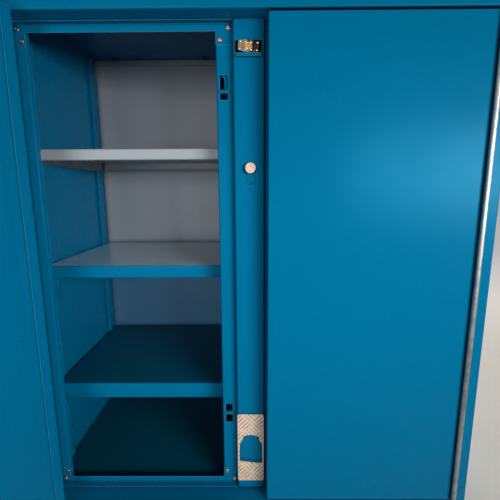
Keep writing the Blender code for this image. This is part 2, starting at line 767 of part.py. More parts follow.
def padlock_reach():
    """How far the tilted padlock, with its bowed long sides, reaches below its middle."""
    return PADLOCK_BOW - (PADLOCK_BOW - PADLOCK_MIDDLE / 2) * math.cos(PADLOCK_TILT)


def padlock_outline():
    """The padlock body seen from its keyway: a block with round corners and bowed long sides."""
    half = PADLOCK_WIDTH / 2 - PADLOCK_CORNER
    flat = PADLOCK_EDGE / 2 - PADLOCK_CORNER
    corner = (PADLOCK_CORNER, PADLOCK_CORNER)
    lean = math.degrees(math.asin((half - PADLOCK_CORNER / 2) / PADLOCK_BOW))
    bow = (PADLOCK_BOW, PADLOCK_BOW)
    top = arc((half, flat), corner, 0, 90 - lean, 3)
    top += arc((0.0, PADLOCK_MIDDLE / 2 - PADLOCK_BOW), bow, 90 - lean, 90 + lean, 6)
    top += arc((-half, flat), corner, 90 + lean, 180, 3)
    return top + [(-u, -v) for u, v in top]


def padlock_stack(outline):
    """The padlock body as a stack of riveted plates: copies of the outline, drawn in where plates meet."""
    pitch = PADLOCK_LENGTH / PADLOCK_PLATES
    rings = [(0.0, PADLOCK_CHAMFER), (PADLOCK_CHAMFER, 0.0)]
    for i in range(1, PADLOCK_PLATES):
        seam = i * pitch
        rings += [(seam - PADLOCK_PLATE_EDGE, 0.0), (seam, PADLOCK_GROOVE), (seam + PADLOCK_PLATE_EDGE, 0.0)]
    rings += [(PADLOCK_LENGTH - PADLOCK_CHAMFER, 0.0), (PADLOCK_LENGTH, PADLOCK_CHAMFER)]
    work = bmesh.new()
    rows = []
    for along, inset in rings:
        wide, high = 1 - 2 * inset / PADLOCK_WIDTH, 1 - 2 * inset / PADLOCK_MIDDLE
        rows.append([work.verts.new((wide * u, along, high * v)) for u, v in outline])
    for near, far in zip(rows, rows[1:]):
        for i in range(len(near)):
            work.faces.new((near[i - 1], near[i], far[i], far[i - 1]))
    work.faces.new(rows[0])
    work.faces.new(rows[-1])
    return finish_mesh("padlock_body", work)


def padlock_pocket():
    """A sheet pocket behind the window, with a flange against the back of the post."""
    half = POCKET_WIDTH / 2
    low = (-half, POCKET_FRONT, POCKET_FOOT)
    high = (half, POCKET_BACK, WINDOW_TOP)
    work = bmesh.new()
    work.from_mesh(boxes_mesh("padlock_pocket", [(low, high)]))
    mouth = min(work.faces, key=lambda face: face.calc_center_median().y)
    rim = list(mouth.edges)
    bmesh.ops.delete(work, geom=[mouth], context="FACES_ONLY")
    bmesh.ops.reverse_faces(work, faces=work.faces)
    swept = bmesh.ops.extrude_edge_only(work, edges=rim)["geom"]
    middle = (POCKET_FOOT + WINDOW_TOP) / 2
    for item in swept:
        if isinstance(item, bmesh.types.BMVert):
            item.co.x += math.copysign(POCKET_FLANGE, item.co.x)
            item.co.z += math.copysign(POCKET_FLANGE, item.co.z - middle)
    mesh = bpy.data.meshes.new("padlock_pocket")
    work.to_mesh(mesh)
    work.free()
    made = add_object("padlock_pocket", mesh, PAINT)
    solidify = made.modifiers.new("Sheet", "SOLIDIFY")
    solidify.thickness = POCKET_SHEET
    solidify.offset = -1.0
    solidify.use_even_offset = True
    combine(made, as_cutter(pocket_ledge()), "UNION")


def pocket_ledge():
    """The pocket's floor carried out through the window, with a lip turned down before the post."""
    top = POCKET_FOOT - POCKET_LEDGE_EASE
    under = POCKET_FOOT - POCKET_SHEET + POCKET_LEDGE_EASE
    root = POCKET_FRONT + 4 * POCKET_SHEET
    outline = [
        (PADLOCK_FACE, top - POCKET_LEDGE_LIP),
        (PADLOCK_FACE + POCKET_SHEET, top - POCKET_LEDGE_LIP),
        (PADLOCK_FACE + POCKET_SHEET, under),
        (root, under),
        (root, top),
        (PADLOCK_FACE, top),
    ]
    return plate("pocket_ledge", [outline], POCKET_LEDGE_WIDTH, "X", (0, 0, 0), PAINT, collection=CUTTERS)


def padlock():
    """A laminated padlock, parked by its shackle on the staple, with its keyway to the front."""
    height = POCKET_FOOT + CLEARANCE + padlock_reach()
    frame = empty("padlock_axis", (0, PADLOCK_FACE, height), (0, PADLOCK_TILT, 0))
    body = add_object("padlock_body", padlock_stack(padlock_outline()), LAMINATED, PARTS, frame)
    combine(body, as_cutter(padlock_bores(frame)), "DIFFERENCE")
    back = -(PLUG_LENGTH - 2 * CLEARANCE)
    profile = [(0.0, 0.0), (PLUG_RADIUS, 0.0), (PLUG_RADIUS, back), (0.0, back)]
    plug = add_object("padlock_plug", turned_mesh("padlock_plug", profile, 16), BRASS, PARTS, frame)
    plug.rotation_euler = FACING["Y"]
    plug.location = (0, CLEARANCE, 0)
    padlock_shackle(frame)
    padlock_staple(height)


def padlock_bores(frame):
    """The bore for the plug in the face of the padlock, and the two for the shackle legs in its back."""
    leg_radius = SHACKLE_RADIUS + SHACKLE_HOLE_GAP
    leg_depth = SHACKLE_ENTRY + PADLOCK_CORNER
    bores = [(0.0, 0.0, PLUG_LENGTH, PLUG_RADIUS + SHACKLE_HOLE_GAP)]
    for leg in (-1, 1):
        bores.append((leg * SHACKLE_SPACING / 2, PADLOCK_LENGTH, leg_depth, leg_radius))
    work = bmesh.new()
    for x, y, depth, radius in bores:
        spot = Matrix.Translation((x, y, 0.0)) @ Matrix.Rotation(math.pi / 2, 4, "X")
        bmesh.ops.create_cone(
            work, cap_ends=True, segments=16, radius1=radius, radius2=radius, depth=2 * depth, matrix=spot
        )
    return add_object("padlock_bores", finish_mesh("padlock_bores", work), None, CUTTERS, frame)


def padlock_shackle(frame):
    """A bent rod whose legs go into the padlock body from behind."""
    radius = SHACKLE_SPACING / 2
    start = PADLOCK_LENGTH - SHACKLE_ENTRY
    crown = PADLOCK_LENGTH + SHACKLE_LEG
    route = [(radius, start)] + arc((0.0, crown), (radius, radius), 0, 180, 12) + [(-radius, start)]
    curve = bpy.data.curves.new("padlock_shackle", "CURVE")
    curve.dimensions = "3D"
    curve.bevel_depth = SHACKLE_RADIUS
    curve.bevel_resolution = 2
    curve.use_fill_caps = True
    spline = curve.splines.new("POLY")
    spline.points.add(len(route) - 1)
    for point, (x, y) in zip(spline.points, route):
        point.co = (x, y, 0.0, 1.0)
    add_object("padlock_shackle", curve, TURNED, PARTS, frame)


def padlock_staple(height):
    """A fin on the back of the pocket, with the hole that the shackle hangs in."""
    crown = PADLOCK_FACE + PADLOCK_LENGTH + SHACKLE_LEG + SHACKLE_SPACING / 2
    hole = SHACKLE_RADIUS + STAPLE_HOLE_GAP
    low = (crown - hole - STAPLE_RIM, POCKET_FOOT + CLEARANCE)
    high = (POCKET_BACK - CLEARANCE, WINDOW_TOP - CLEARANCE)
    loops = [rectangle(low, high), circle(hole, 16, (crown, height))]
    plate("padlock_staple", loops, STAPLE_THICKNESS, "X", (0, 0, 0), PAINT)


# Doors and hinges
def leaf_outline(across):
    """A hinge leaf from above: a knuckle at the origin and a flat tail to the back, beside the pin."""
    near, far = CLEARANCE, CLEARANCE + HINGE_LEAF
    tail = HINGE_RADIUS + HINGE_PROUD + HINGE_LEAF_WIDTH
    start = math.degrees(math.acos(near / HINGE_RADIUS))
    end = math.degrees(math.acos(far / HINGE_RADIUS))
    knuckle = arc((0.0, 0.0), (HINGE_RADIUS, HINGE_RADIUS), start, end + 360, 14)
    outer = [(near, tail)] + knuckle + [(far, tail)]
    bore = circle(HINGE_PIN_RADIUS + HINGE_PIN_GAP, 12)
    return [mirrored(outer, across), mirrored(bore, across)]


def hinge_leaf(name, across, first_cut, place, parent=None):
    """One leaf of the piano hinge, with every second knuckle cut away for the other leaf."""
    leaf = plate(name, leaf_outline(across), HINGE_LENGTH, "Z", place, ZINC, parent)
    pitch = HINGE_LENGTH / HINGE_KNUCKLES
    middle = Vector(place)
    reach = HINGE_RADIUS + HINGE_PROUD
    cuts = []
    for i in range(first_cut, HINGE_KNUCKLES, 2):
        low = middle.z - HINGE_LENGTH / 2 + i * pitch
        ends = [low - HINGE_KNUCKLE_GAP, low + pitch + HINGE_KNUCKLE_GAP]
        if i == 0:
            ends[0] -= reach
        if i == HINGE_KNUCKLES - 1:
            ends[1] += reach
        cuts.append(
            (
                (middle.x - reach - HINGE_LEAF, middle.y - reach - HINGE_LEAF, ends[0]),
                (middle.x + reach + HINGE_LEAF, middle.y + reach, ends[1]),
            )
        )
    cut_boxes(leaf, cuts, parent)


def hinge_pin(word, side):
    length = HINGE_LENGTH + 2 * CLEARANCE
    head = HINGE_RADIUS
    profile = [
        (0.0, length + HINGE_PIN_HEAD),
        (head, length + HINGE_PIN_HEAD),
        (head, length),
        (HINGE_PIN_RADIUS, length),
        (HINGE_PIN_RADIUS, 0.0),
        (head, 0.0),
        (head, -HINGE_PIN_HEAD),
        (0.0, -HINGE_PIN_HEAD),
    ]
    pin = add_object(word + "_hinge_pin", turned_mesh(word + "_hinge_pin", profile, 12), ZINC)
    pin.location = (side * HINGE_X, HINGE_Y, Z_SILL + HINGE_END_GAP - CLEARANCE)


def door(word, side, angle):
    """One door, made as if closed in the frame of its hinge, which then turns it by the angle."""
    axis = empty(word + "_door_axis", (side * HINGE_X, HINGE_Y, Z_SILL), (0, 0, angle))
    to_lock = -side
    hinge_edge = HINGE_GAP / 2
    lock_edge = HINGE_X - POST_WIDTH / 2 - DOOR_POST_GAP
    front = Y_FRONT - HINGE_Y
    foot, top = DOOR_EDGE_GAP, OPENING_HEIGHT - DOOR_EDGE_GAP
    ends = sorted((to_lock * hinge_edge, to_lock * lock_edge))
    door_pan(word, axis, (ends[0], front, foot), (ends[1], front + DOOR_DEPTH, top))
    door_liner(word, axis, (ends[0], front, foot), (ends[1], front + DOOR_DEPTH, top))
    door_hooks(word, axis, to_lock)
    middle = (0, 0, OPENING_HEIGHT / 2)
    hinge_leaf(word + "_door_hinge_leaf", to_lock, 0, middle, axis)
    still = (side * HINGE_X, HINGE_Y, Z_SILL + OPENING_HEIGHT / 2)
    hinge_leaf(word + "_body_hinge_leaf", side, 1, still)
    hinge_pin(word, side)


def door_pan(word, axis, low, high):
    """A deep pan with its back turned in to a lip all round."""
    work = bmesh.new()
    work.from_mesh(boxes_mesh(word + "_door_pan", [(low, high)]))
    back = max(work.faces, key=lambda face: face.calc_center_median().y)
    rim = list(back.edges)
    bmesh.ops.delete(work, geom=[back], context="FACES_ONLY")
    swept = bmesh.ops.extrude_edge_only(work, edges=rim)["geom"]
    middle = (Vector(low) + Vector(high)) / 2
    for item in swept:
        if isinstance(item, bmesh.types.BMVert):
            item.co.x -= math.copysign(DOOR_LIP, item.co.x - middle.x)
            item.co.z -= math.copysign(DOOR_LIP, item.co.z - middle.z)
    mesh = bpy.data.meshes.new(word + "_door_pan")
    work.to_mesh(mesh)
    work.free()
    pan = add_object(word + "_door_pan", mesh, PAINT, PARTS, axis)
    bevel = pan.modifiers.new("Bends", "BEVEL")
    bevel.width = BEND_RADIUS
    bevel.segments = BEND_STEPS
    bevel.limit_method = "ANGLE"
    bevel.angle_limit = math.radians(30)
    solidify = pan.modifiers.new("Sheet", "SOLIDIFY")
    solidify.thickness = SHEET
    solidify.offset = -1.0
    solidify.use_even_offset = True


def door_liner(word, axis, low, high):
    """The inner sheet of the door, behind the lip, with a raised field."""
    edge = SHEET + BEND_RADIUS
    back = high[1] - SHEET - CLEARANCE - SHEET / 2
    work = bmesh.new()
    corners = boxes_mesh(
        word + "_door_liner",
        [((low[0] + edge, back, low[2] + edge), (high[0] - edge, back + SHEET, high[2] - edge))],
    )
    work.from_mesh(corners)
    inner = min(work.faces, key=lambda face: face.calc_center_median().y)
    others = [face for face in work.faces if face is not inner]
    bmesh.ops.delete(work, geom=others, context="FACES")
    for width in (LINER_BORDER, LINER_SLOPE):
        bmesh.ops.inset_region(work, faces=[inner], thickness=width, use_boundary=True, use_even_offset=True)
    bmesh.ops.translate(work, verts=inner.verts, vec=(0, -LINER_RISE, 0))
    mesh = bpy.data.meshes.new(word + "_door_liner")
    work.to_mesh(mesh)
    work.free()
    liner = add_object(word + "_door_liner", mesh, PAINT, PARTS, axis)
    solidify = liner.modifiers.new("Sheet", "SOLIDIFY")
    solidify.thickness = SHEET
    solidify.offset = 0.0
    solidify.use_even_offset = True


def door_hooks(word, axis, to_lock):
    """Two bent plates on the lip, each with a nose that the lock finger stands before."""
    outer = HINGE_X - HOOK_OUTER
    inner = outer + HOOK_THICKNESS
    foot_y = HOOK_FOOT_Y - HINGE_Y
    tip_y = HOOK_TIP_Y - HINGE_Y
    path = [
        (inner + HOOK_NOSE, tip_y),
        (outer, tip_y),
        (outer, foot_y),
        (outer + HOOK_FOOT, foot_y),
    ]
    for place, foot in SLOT_FEET.items():
        middle = (SLOT_WEBS[place] + HOOK_SLOT_WEB + foot + HOOK_SLOT_HEIGHT) / 2 - Z_SILL
        span = (middle - HOOK_HEIGHT / 2, middle + HOOK_HEIGHT / 2)
        fold(f"{word}_door_{place}_hook", path, span, "Z", ZINC, HOOK_THICKNESS, to_lock, axis)


# Shelves
def standards():
    """Slotted uprights on both side walls."""
    for word, side in SIDES.items():
        for place, near in STANDARD_PLACES.items():
            far = near + STANDARD_WIDTH
            path = [(INSIDE, far), (STANDARD_FACE, far), (STANDARD_FACE, near), (INSIDE, near)]
            foot = Z_SILL + CLEARANCE
            top = Z_TOP - SHEET - STANDARD_TOP_GAP
            made = fold(f"{word}_{place}_standard", path, (foot, top), "Z", side=side)
            ends = sorted((side * (STANDARD_FACE - SHEET), side * (STANDARD_FACE + 2 * SHEET)))
            middle = (near + far) / 2
            cuts = []
            for i in range(1, int((top - foot) / STANDARD_SLOT_PITCH) + 1):
                low = foot + i * STANDARD_SLOT_PITCH - STANDARD_SLOT_HEIGHT
                cuts.append(
                    (
                        (ends[0], middle - STANDARD_SLOT_WIDTH / 2, low),
                        (ends[1], middle + STANDARD_SLOT_WIDTH / 2, low + STANDARD_SLOT_HEIGHT),
                    )
                )
            cut_boxes(made, cuts)


def shelf(word, rise):
    """A shelf with a lip turned down and in at its front and back, carried on two brackets."""
    top = Z_SILL + rise
    foot = top - SHELF_LIPS[word]
    path = [
        (Y_SHELF_BACK - SHELF_RETURN, foot),
        (Y_SHELF_BACK, foot),
        (Y_SHELF_BACK, top),
        (Y_SHELF, top),
        (Y_SHELF, foot),
        (Y_SHELF + SHELF_RETURN, foot),
    ]
    half = STANDARD_FACE - SHELF_SIDE_GAP
    coat = GREY if word == "upper" else PAINT
    fold(word + "_shelf", path, (-half, half), "X", coat)
    shelf_brackets(word, top - SHEET - CLEARANCE)


def shelf_brackets(word, top):
    """Angle brackets from the front to the rear standard on both sides, under one shelf."""
    face = STANDARD_FACE - CLEARANCE
    path = [(face, top - BRACKET_LEG), (face, top), (face - BRACKET_TAB, top)]
    span = (STANDARD_PLACES["front"], STANDARD_PLACES["rear"] + STANDARD_WIDTH)
    for side_word, side in SIDES.items():
        name = f"{side_word}_{word}_shelf_bracket"
        fold(name, path, span, "Y", ZINC, BRACKET_THICKNESS, side)


def lower_shelf_rail():
    """The stiffening rail under the front of the lower shelf."""
    top = Z_SILL + SHELF_RISES["lower"]
    near = Y_SHELF + SHELF_RAIL_SETBACK
    path = [
        (near, top - SHEET - CLEARANCE),
        (near, top - SHELF_RAIL_HEIGHT),
        (near + SHELF_RAIL_RETURN, top - SHELF_RAIL_HEIGHT),
    ]
    half = STANDARD_FACE - CLEARANCE - BRACKET_TAB - CLEARANCE
    fold("lower_shelf_rail", path, (-half, half), "X")


def build():
    back_panel()
    top_panel()
    floor_panel()
    skids()
    for word, side in SIDES.items():
        side_panel(word, side)
        rail(word, side, "top")
        rail(word, side, "bottom")
        lock_stile(word, side)
        hinge_stile(word, side)
    centre_post()
    column_cover()
    tread_plate()
    bar_guides()
    lock_bar()
    lock_knob()
    lock_fingers()
    padlock_pocket()
    padlock()
    door("left", -1, -LEFT_DOOR_ANGLE)
    door("right", 1, 0.0)
    standards()
    for word, rise in SHELF_RISES.items():
        shelf(word, rise)
    lower_shelf_rail()


build()
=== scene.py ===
import json
import math

import bmesh
import bpy
from mathutils import Matrix, Vector


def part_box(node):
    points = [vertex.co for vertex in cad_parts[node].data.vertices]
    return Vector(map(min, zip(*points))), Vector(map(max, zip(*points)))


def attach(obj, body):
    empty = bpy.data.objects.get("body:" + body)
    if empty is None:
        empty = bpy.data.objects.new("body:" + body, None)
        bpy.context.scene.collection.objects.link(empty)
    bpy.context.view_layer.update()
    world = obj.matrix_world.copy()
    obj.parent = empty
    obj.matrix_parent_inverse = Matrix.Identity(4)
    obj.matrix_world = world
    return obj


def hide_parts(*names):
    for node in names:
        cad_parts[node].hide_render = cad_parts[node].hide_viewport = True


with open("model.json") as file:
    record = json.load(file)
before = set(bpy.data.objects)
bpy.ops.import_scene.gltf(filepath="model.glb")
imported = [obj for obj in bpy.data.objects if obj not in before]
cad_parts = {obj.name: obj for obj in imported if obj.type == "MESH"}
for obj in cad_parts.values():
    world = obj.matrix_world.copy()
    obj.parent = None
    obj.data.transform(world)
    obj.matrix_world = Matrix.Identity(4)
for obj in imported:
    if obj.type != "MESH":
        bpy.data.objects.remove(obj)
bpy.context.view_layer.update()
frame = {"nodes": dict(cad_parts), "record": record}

# Looks of a jobsite storage cabinet in blue powder coat

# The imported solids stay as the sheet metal, with their edges eased and a finish on each. Added here is what
# is too small for them: rivets, the raised bars of the tread plate, the padlock's riveted face and keyed
# plug, the turned knob and the nuts under the roof. Metres, +Z up, the front looks along -Y.

MM = 0.001
sheet_metal = frame["nodes"]
scene = bpy.context.scene
scene.view_settings.view_transform = "Standard"

# Places repeated from the part's source
SILL, SOFFIT, ROOF_UNDERSIDE = 0.138, 1.418, 1.5217
FRAME_FRONT, BACK_SHEET_MIDDLE, ROOF_FLANGE = -0.2381, 0.3037, 0.3005
SHELF_TOP, LOWER_SHELF_TOP = 0.8010, 0.4286
PADLOCK_MIDDLE = Vector((0.0, -0.2668, 1.35394))
PADLOCK_TILT = math.radians(5.3)
KNOB_MIDDLE = Vector((0.0028, -0.2705, 1.071))

# Edges of the solids: how near corners are merged and how far sharp edges are eased
MERGE_REACH, EDGE_EASE = 0.01 * MM, 0.5 * MM
# Faces are joined up to the first angle, edges eased from the second and bends shaded smooth up to the third
FLAT_ANGLE, EASED_ANGLE, BEND_ANGLE = math.radians(1), math.radians(50), 0.9

# Blind rivets of the inner frame: (distance from the middle of the cabinet, distance from soffit or sill)
FRAME_RIVETS = ((0.0502, 0.0125), (0.0712, 0.0390), (0.5656, 0.0125), (0.5566, 0.0390))
FRAME_RIVET_RADIUS, FRAME_RIVET_RISE, FRAME_RIVET_SUNK = 6.0 * MM, 2.2 * MM, 0.6 * MM
FRAME_RIVET_PROFILE = ((0.0, 0.45), (0.20, 0.45), (0.30, 0.92), (0.48, 1.0), (0.8, 0.74), (1.0, 0.2))

# Riveted face of the padlock, in its own tilted frame
PADLOCK_RIVETS_ACROSS, PADLOCK_RIVETS_UP = (6.5 * MM, 20.5 * MM), 8.2 * MM
PADLOCK_RIVET_RADIUS, PADLOCK_RIVET_RISE, PADLOCK_RIVET_SUNK = 2.3 * MM, 1.0 * MM, 0.4 * MM
PADLOCK_RIVET_PROFILE = ((0.0, 1.0), (0.35, 0.95), (0.7, 0.72), (1.0, 0.1))
PLUG_RADIUS, PLUG_CHAMFER = 6.0 * MM, 0.5 * MM
COLLAR_RADIUS, COLLAR_SECTION, COLLAR_STEPS = 7.2 * MM, 0.9 * MM, 12
KEYWAY_WIDTH, KEYWAY_HEIGHT, KEYWAY_DEPTH = 2.0 * MM, 8.4 * MM, 1.2 * MM
# Corners of the keyway in halves of its width and height, with a ward on its right and a notch on its left
KEYWAY_RING = ((-1, -1), (1, -1), (1, -0.3), (1.9, -0.1), (1.9, 0.3), (1, 0.5), (1, 1), (-1, 1), (-1, 0.2),
               (-0.3, 0), (-1, -0.3))

# Five-bar tread pattern: groups of five bars on a diagonal lattice, turned left and right in turn by column
TREAD_START = Vector((4.9 * MM, 0.0, SILL + 191.5 * MM))
TREAD_COLUMNS, TREAD_ROWS, GROUP_BARS = range(-2, 3), range(-9, 4), range(-2, 3)
TREAD_STEP, BAR_SPACING = 27.0 * MM, 9.5 * MM
BAR_LENGTH, BAR_WIDTH, BAR_RISE = 31.0 * MM, 2.6 * MM, 1.3 * MM
TRIM_FRONT, TRIM_BACK = 3.0 * MM, 0.4 * MM

# Turned pieces: their sides, and the angle from which an edge stays sharp
KNOB_SIDES, PLUG_SIDES, TURNED_SHARP = 96, 64, math.radians(28)

# Edge of the knob in millimetres, as (in from the rim, back from the front)
KNOB_EDGE = ((0.0, 2.0), (0.7, 0.7), (2.0, 0.0), (2.8, 0.0), (3.2, 0.4))
# Corners of its groove in millimetres, as (to the side, into the knob)
GROOVE_CORNERS = ((-4.4, -0.2), (1.7, -0.2), (1.5, 1.2), (1.2, 1.2))
KNOB_STEP, GROOVE_INSET = 0.4 * MM, 2.4 * MM
# How squarely a polished facet of the knob faces the front, at least and at most
POLISH_LEAST, POLISH_MOST = 0.2, 0.995

# Nuts of the roof bolts, along the back
ROOF_NUTS_ACROSS, ROOF_NUTS_BACK = (0.174, 0.522), 0.2800
NUT_ACROSS_FLATS, NUT_HEIGHT = 13.0 * MM, 6.5 * MM

# Paints: two near tones, the thin coat on edges with a painted highlight, painted seam shade and the gloss
# colour
WHITE = "#FFFFFF"
BLUE = {"tones": ("#00709B", "#007AA7"), "thin_and_lit": "#7CBCCB", "seam": "#002433", "sheen": "#3FB4DC"}
GREY = {"tones": ("#A2ABB0", "#AEB7BC"), "thin_and_lit": "#C3CACD", "seam": "#5E6468", "sheen": WHITE}
# The back wall's grey, and the middle shelf's paler grey, which is partly painted light on its top
WALL_GREY, SHELF_GREY_AND_LIGHT = ("#A7ADB6", "#B3B9C2"), ("#D2E6EB", "#DCEFF3")
# Darker blues on the lower shelf's top and the floor inside: painted shade
SHELF_SHADE_TONES, FLOOR_SHADE_TONES = ("#005B74", "#00617C"), ("#004E63", "#005469")
# Heights under the middle shelf between which a second paint thins out
PAINT_THINNEST, PAINT_FULL = SHELF_TOP - 80 * MM, SHELF_TOP - 5 * MM
# The range that most of a noise lies in
NOISE_RANGE = (0.3, 0.7)

# Studio: the grey that is seen and the dim light that it gives
STUDIO_GREY, STUDIO_LIGHT = (0.4, 0.4, 0.4, 1.0), (0.01, 0.01, 0.01, 1.0)
# Half the width of the floor, and how far out it starts to fade into the grey and is gone
FLOOR_HALF, FADE_START, FADE_END = 12.0, 1.6, 5.0

# Camera at the photograph's viewing angle, for a picture 500 pixels wide
FOCAL_PIXELS, PICTURE_PIXELS, SENSOR_WIDTH = 345.4, 500, 36.0
CAMERA_PLACE = (0.0065, -1.1565, 1.0151)
CAMERA_ROLL, CAMERA_PITCH, CAMERA_YAW = math.radians(-0.3), math.radians(9.77), math.radians(-0.36)


def add(tree, kind, feeds=None, **settings):
    """Adds a node to a tree, sets its properties and fills its inputs with values or links."""
    made = tree.nodes.new(kind)
    for name, value in settings.items():
        setattr(made, name, value)
    for place, value in (feeds or {}).items():
        if isinstance(value, bpy.types.NodeSocket):
            tree.links.new(value, made.inputs[place])
        else:
            made.inputs[place].default_value = value
    return made


def linear(hex_colour):
    """The linear colour, with alpha, of an sRGB hex value."""
    parts = [int(hex_colour[i:i + 2], 16) / 255 for i in (1, 3, 5)]
    return [p / 12.92 if p <= 0.04045 else ((p + 0.055) / 1.055) ** 2.4 for p in parts] + [1.0]


def calc(tree, operation, *values):
    """The result of a sum on numbers and sockets."""
    return add(tree, "ShaderNodeMath", dict(enumerate(values)), operation=operation).outputs["Value"]


def ranged(tree, value, start, end, low=0.0, high=1.0):
    """A value carried from one range into another."""
    return add(tree, "ShaderNodeMapRange", {"Value": value, "From Min": start, "From Max": end, "To Min": low,
                                            "To Max": high}).outputs["Result"]


def noise(tree, at, size, detail, roughness=0.5):
    """Noise with grains of the given size."""
    return add(tree, "ShaderNodeTexNoise", {"Vector": at, "Scale": 1 / size, "Detail": detail,
                                            "Roughness": roughness}).outputs["Fac"]


def drawn_noise(tree, at, sizes, detail):
    """Noise drawn out into lines: the sizes of its grains along X, Y and Z."""
    drawn = add(tree, "ShaderNodeMapping", {"Vector": at, "Scale": [1 / size for size in sizes]})
    return noise(tree, drawn.outputs["Vector"], 1.0, detail)


def blend(tree, share, first, second):
    """A mix of two colours, given as hex values, linear colours or sockets."""
    first, second = (linear(end) if isinstance(end, str) else end for end in (first, second))
    return add(tree, "ShaderNodeMix", {"Factor": share, 6: first, 7: second}, data_type="RGBA").outputs[2]


def ramp(tree, share, *stops):
    """A colour ramp of two stops, each a place and a hex value."""
    made = add(tree, "ShaderNodeValToRGB", {"Fac": share})
    for element, (place, colour) in zip(made.color_ramp.elements, stops):
        element.position, element.color = place, linear(colour)
    return made.outputs["Color"]


def bumped(tree, height, distance, strength, under=None):
    """The normal of a bumpy surface, over another normal if there is one."""
    bump = add(tree, "ShaderNodeBump", {"Height": height, "Distance": distance, "Strength": strength})
    if under is not None:
        tree.links.new(under, bump.inputs["Normal"])
    return bump.outputs["Normal"]


def bare_finish(name, **values):
    """Starts a material and returns it with its tree, its shader and the Object coordinates."""
    finish = bpy.data.materials.new(name)
    finish.use_nodes = True
    tree = finish.node_tree
    shader = tree.nodes["Principled BSDF"]
    for socket, value in values.items():
        shader.inputs[socket.replace("_", " ")].default_value = value
    return finish, tree, shader, add(tree, "ShaderNodeTexCoord").outputs["Object"]


def wire(tree, shader, colour, rough, normal):
    """Links a finish's colour, roughness and normal to its shader."""
    for socket, source in (("Base Color", colour), ("Roughness", rough), ("Normal", normal)):
        tree.links.new(source, shader.inputs[socket])


def powder_coat(name, paint, gloss_range, specular, face=None, seam_reach=9 * MM):
    """Polyester powder sprayed on sheet steel and baked: an even colour under a gloss that is broken up by
    orange peel. It is thinner on folded and cut edges, which are painted paler, partly as a painted
    highlight, and it is painted darker in seams as painted shade. Handling dulls it in soft patches, and its
    gloss takes on the colour of the sheen."""
    finish, tree, shader, at = bare_finish(name, IOR=1.5, Specular_IOR_Level=specular,
                                           Specular_Tint=linear(paint["sheen"]))
    # Soft patches of about 150 mm, where the gloss is a little duller
    gloss = ranged(tree, noise(tree, at, 150 * MM, 3.0, 0.6), *NOISE_RANGE, *gloss_range)
    # Fine specks of the powder's pigment, drawn at 3 mm because the real grains don't show at this distance
    specks = noise(tree, at, 3 * MM, 2.0)
    tone = blend(tree, specks, *paint["tones"])
    if face:
        # One face of the sheet in other tones, from start to full along an axis. Below the middle shelf a
        # share of them is left, and the first tones show through.
        spot = add(tree, "ShaderNodeSeparateXYZ", {"Vector": at}).outputs
        sprayed = ranged(tree, spot[face["axis"]], face["start"], face["full"])
        thick = ranged(tree, spot["Z"], PAINT_THINNEST, PAINT_FULL, face["share_below"], 1.0)
        tone = blend(tree, calc(tree, "MULTIPLY", sprayed, thick), tone, blend(tree, specks, *face["tones"]))
        gleam = blend(tree, sprayed, paint["sheen"], face["sheen"])
        tree.links.new(gleam, shader.inputs["Specular Tint"])
    # Edges: thin coat and painted highlight, a paler tone where the rounded normal leaves the face's own one
    rounded = add(tree, "ShaderNodeBevel", {"Radius": 2.2 * MM}, samples=4)
    own = add(tree, "ShaderNodeNewGeometry")
    along = add(tree, "ShaderNodeVectorMath", {0: rounded.outputs["Normal"], 1: own.outputs["Normal"]},
                operation="DOT_PRODUCT")
    edge = ranged(tree, along.outputs["Value"], 0.99, 0.80)
    thin_coat_and_highlight = blend(tree, calc(tree, "MULTIPLY", edge, noise(tree, at, 14 * MM, 3.0)), tone, paint["thin_and_lit"])
    # Painted shade: the coat is darker in seams and slots where little light reaches, out to the given reach
    seams = add(tree, "ShaderNodeAmbientOcclusion", {"Distance": seam_reach}, samples=6)
    coat = blend(tree, ranged(tree, seams.outputs["AO"], 0.25, 0.92), paint["seam"], thin_coat_and_highlight)
    # Orange peel over the slight waviness of the sheet, drawn at 5 mm instead of 2 mm so that it shows
    wave = bumped(tree, noise(tree, at, 220 * MM, 1.0), 3 * MM, 0.3)
    peel = bumped(tree, noise(tree, at, 5 * MM, 1.0), 0.08 * MM, 0.4, wave)
    wire(tree, shader, coat, gloss, peel)
    return finish


def zinc_plate():
    """Bright zinc on formed steel: pale grey metal with a faint blue and straw bloom and drawing lines."""
    finish, tree, shader, at = bare_finish("zinc_plate", Metallic=1.0)
    tone = ramp(tree, noise(tree, at, 22 * MM, 4.0), (0.35, "#A9B0B8"), (0.68, "#D6CFC0"))
    # Drawing lines along the length of the piece, drawn 1.5 mm apart so that they show
    lines = drawn_noise(tree, at, (1.5 * MM, 1.5 * MM, 60 * MM), 2.0)
    rough = ranged(tree, lines, *NOISE_RANGE, 0.26, 0.44)
    wire(tree, shader, tone, rough, bumped(tree, lines, 0.05 * MM, 0.4))
    return finish


def rolled_aluminium():
    """Mill-finish aluminium plate, rolled hot with its pattern: a warm pale metal under a thin dull oxide,
    which scatters most of its light, with rolling streaks up the plate, small scuffs and painted shade along
    the bars."""
    finish, tree, shader, at = bare_finish("rolled_aluminium", Metallic=0.15)
    streaks = drawn_noise(tree, at, (2.5 * MM, 2.5 * MM, 80 * MM), 3.0)
    bright = blend(tree, noise(tree, at, 16 * MM, 5.0, 0.65), "#FFDABC", "#FFEBD6")
    # Painted shade: a dark tone in the corners along each bar
    bar_shade = add(tree, "ShaderNodeAmbientOcclusion", {"Distance": 5 * MM}, samples=8)
    tone = blend(tree, ranged(tree, bar_shade.outputs["AO"], 0.55, 0.90), "#6E5B4E", bright)
    rough = ranged(tree, streaks, 0.25, 0.75, 0.30, 0.48)
    wire(tree, shader, tone, rough, bumped(tree, streaks, 0.08 * MM, 0.35))
    return finish


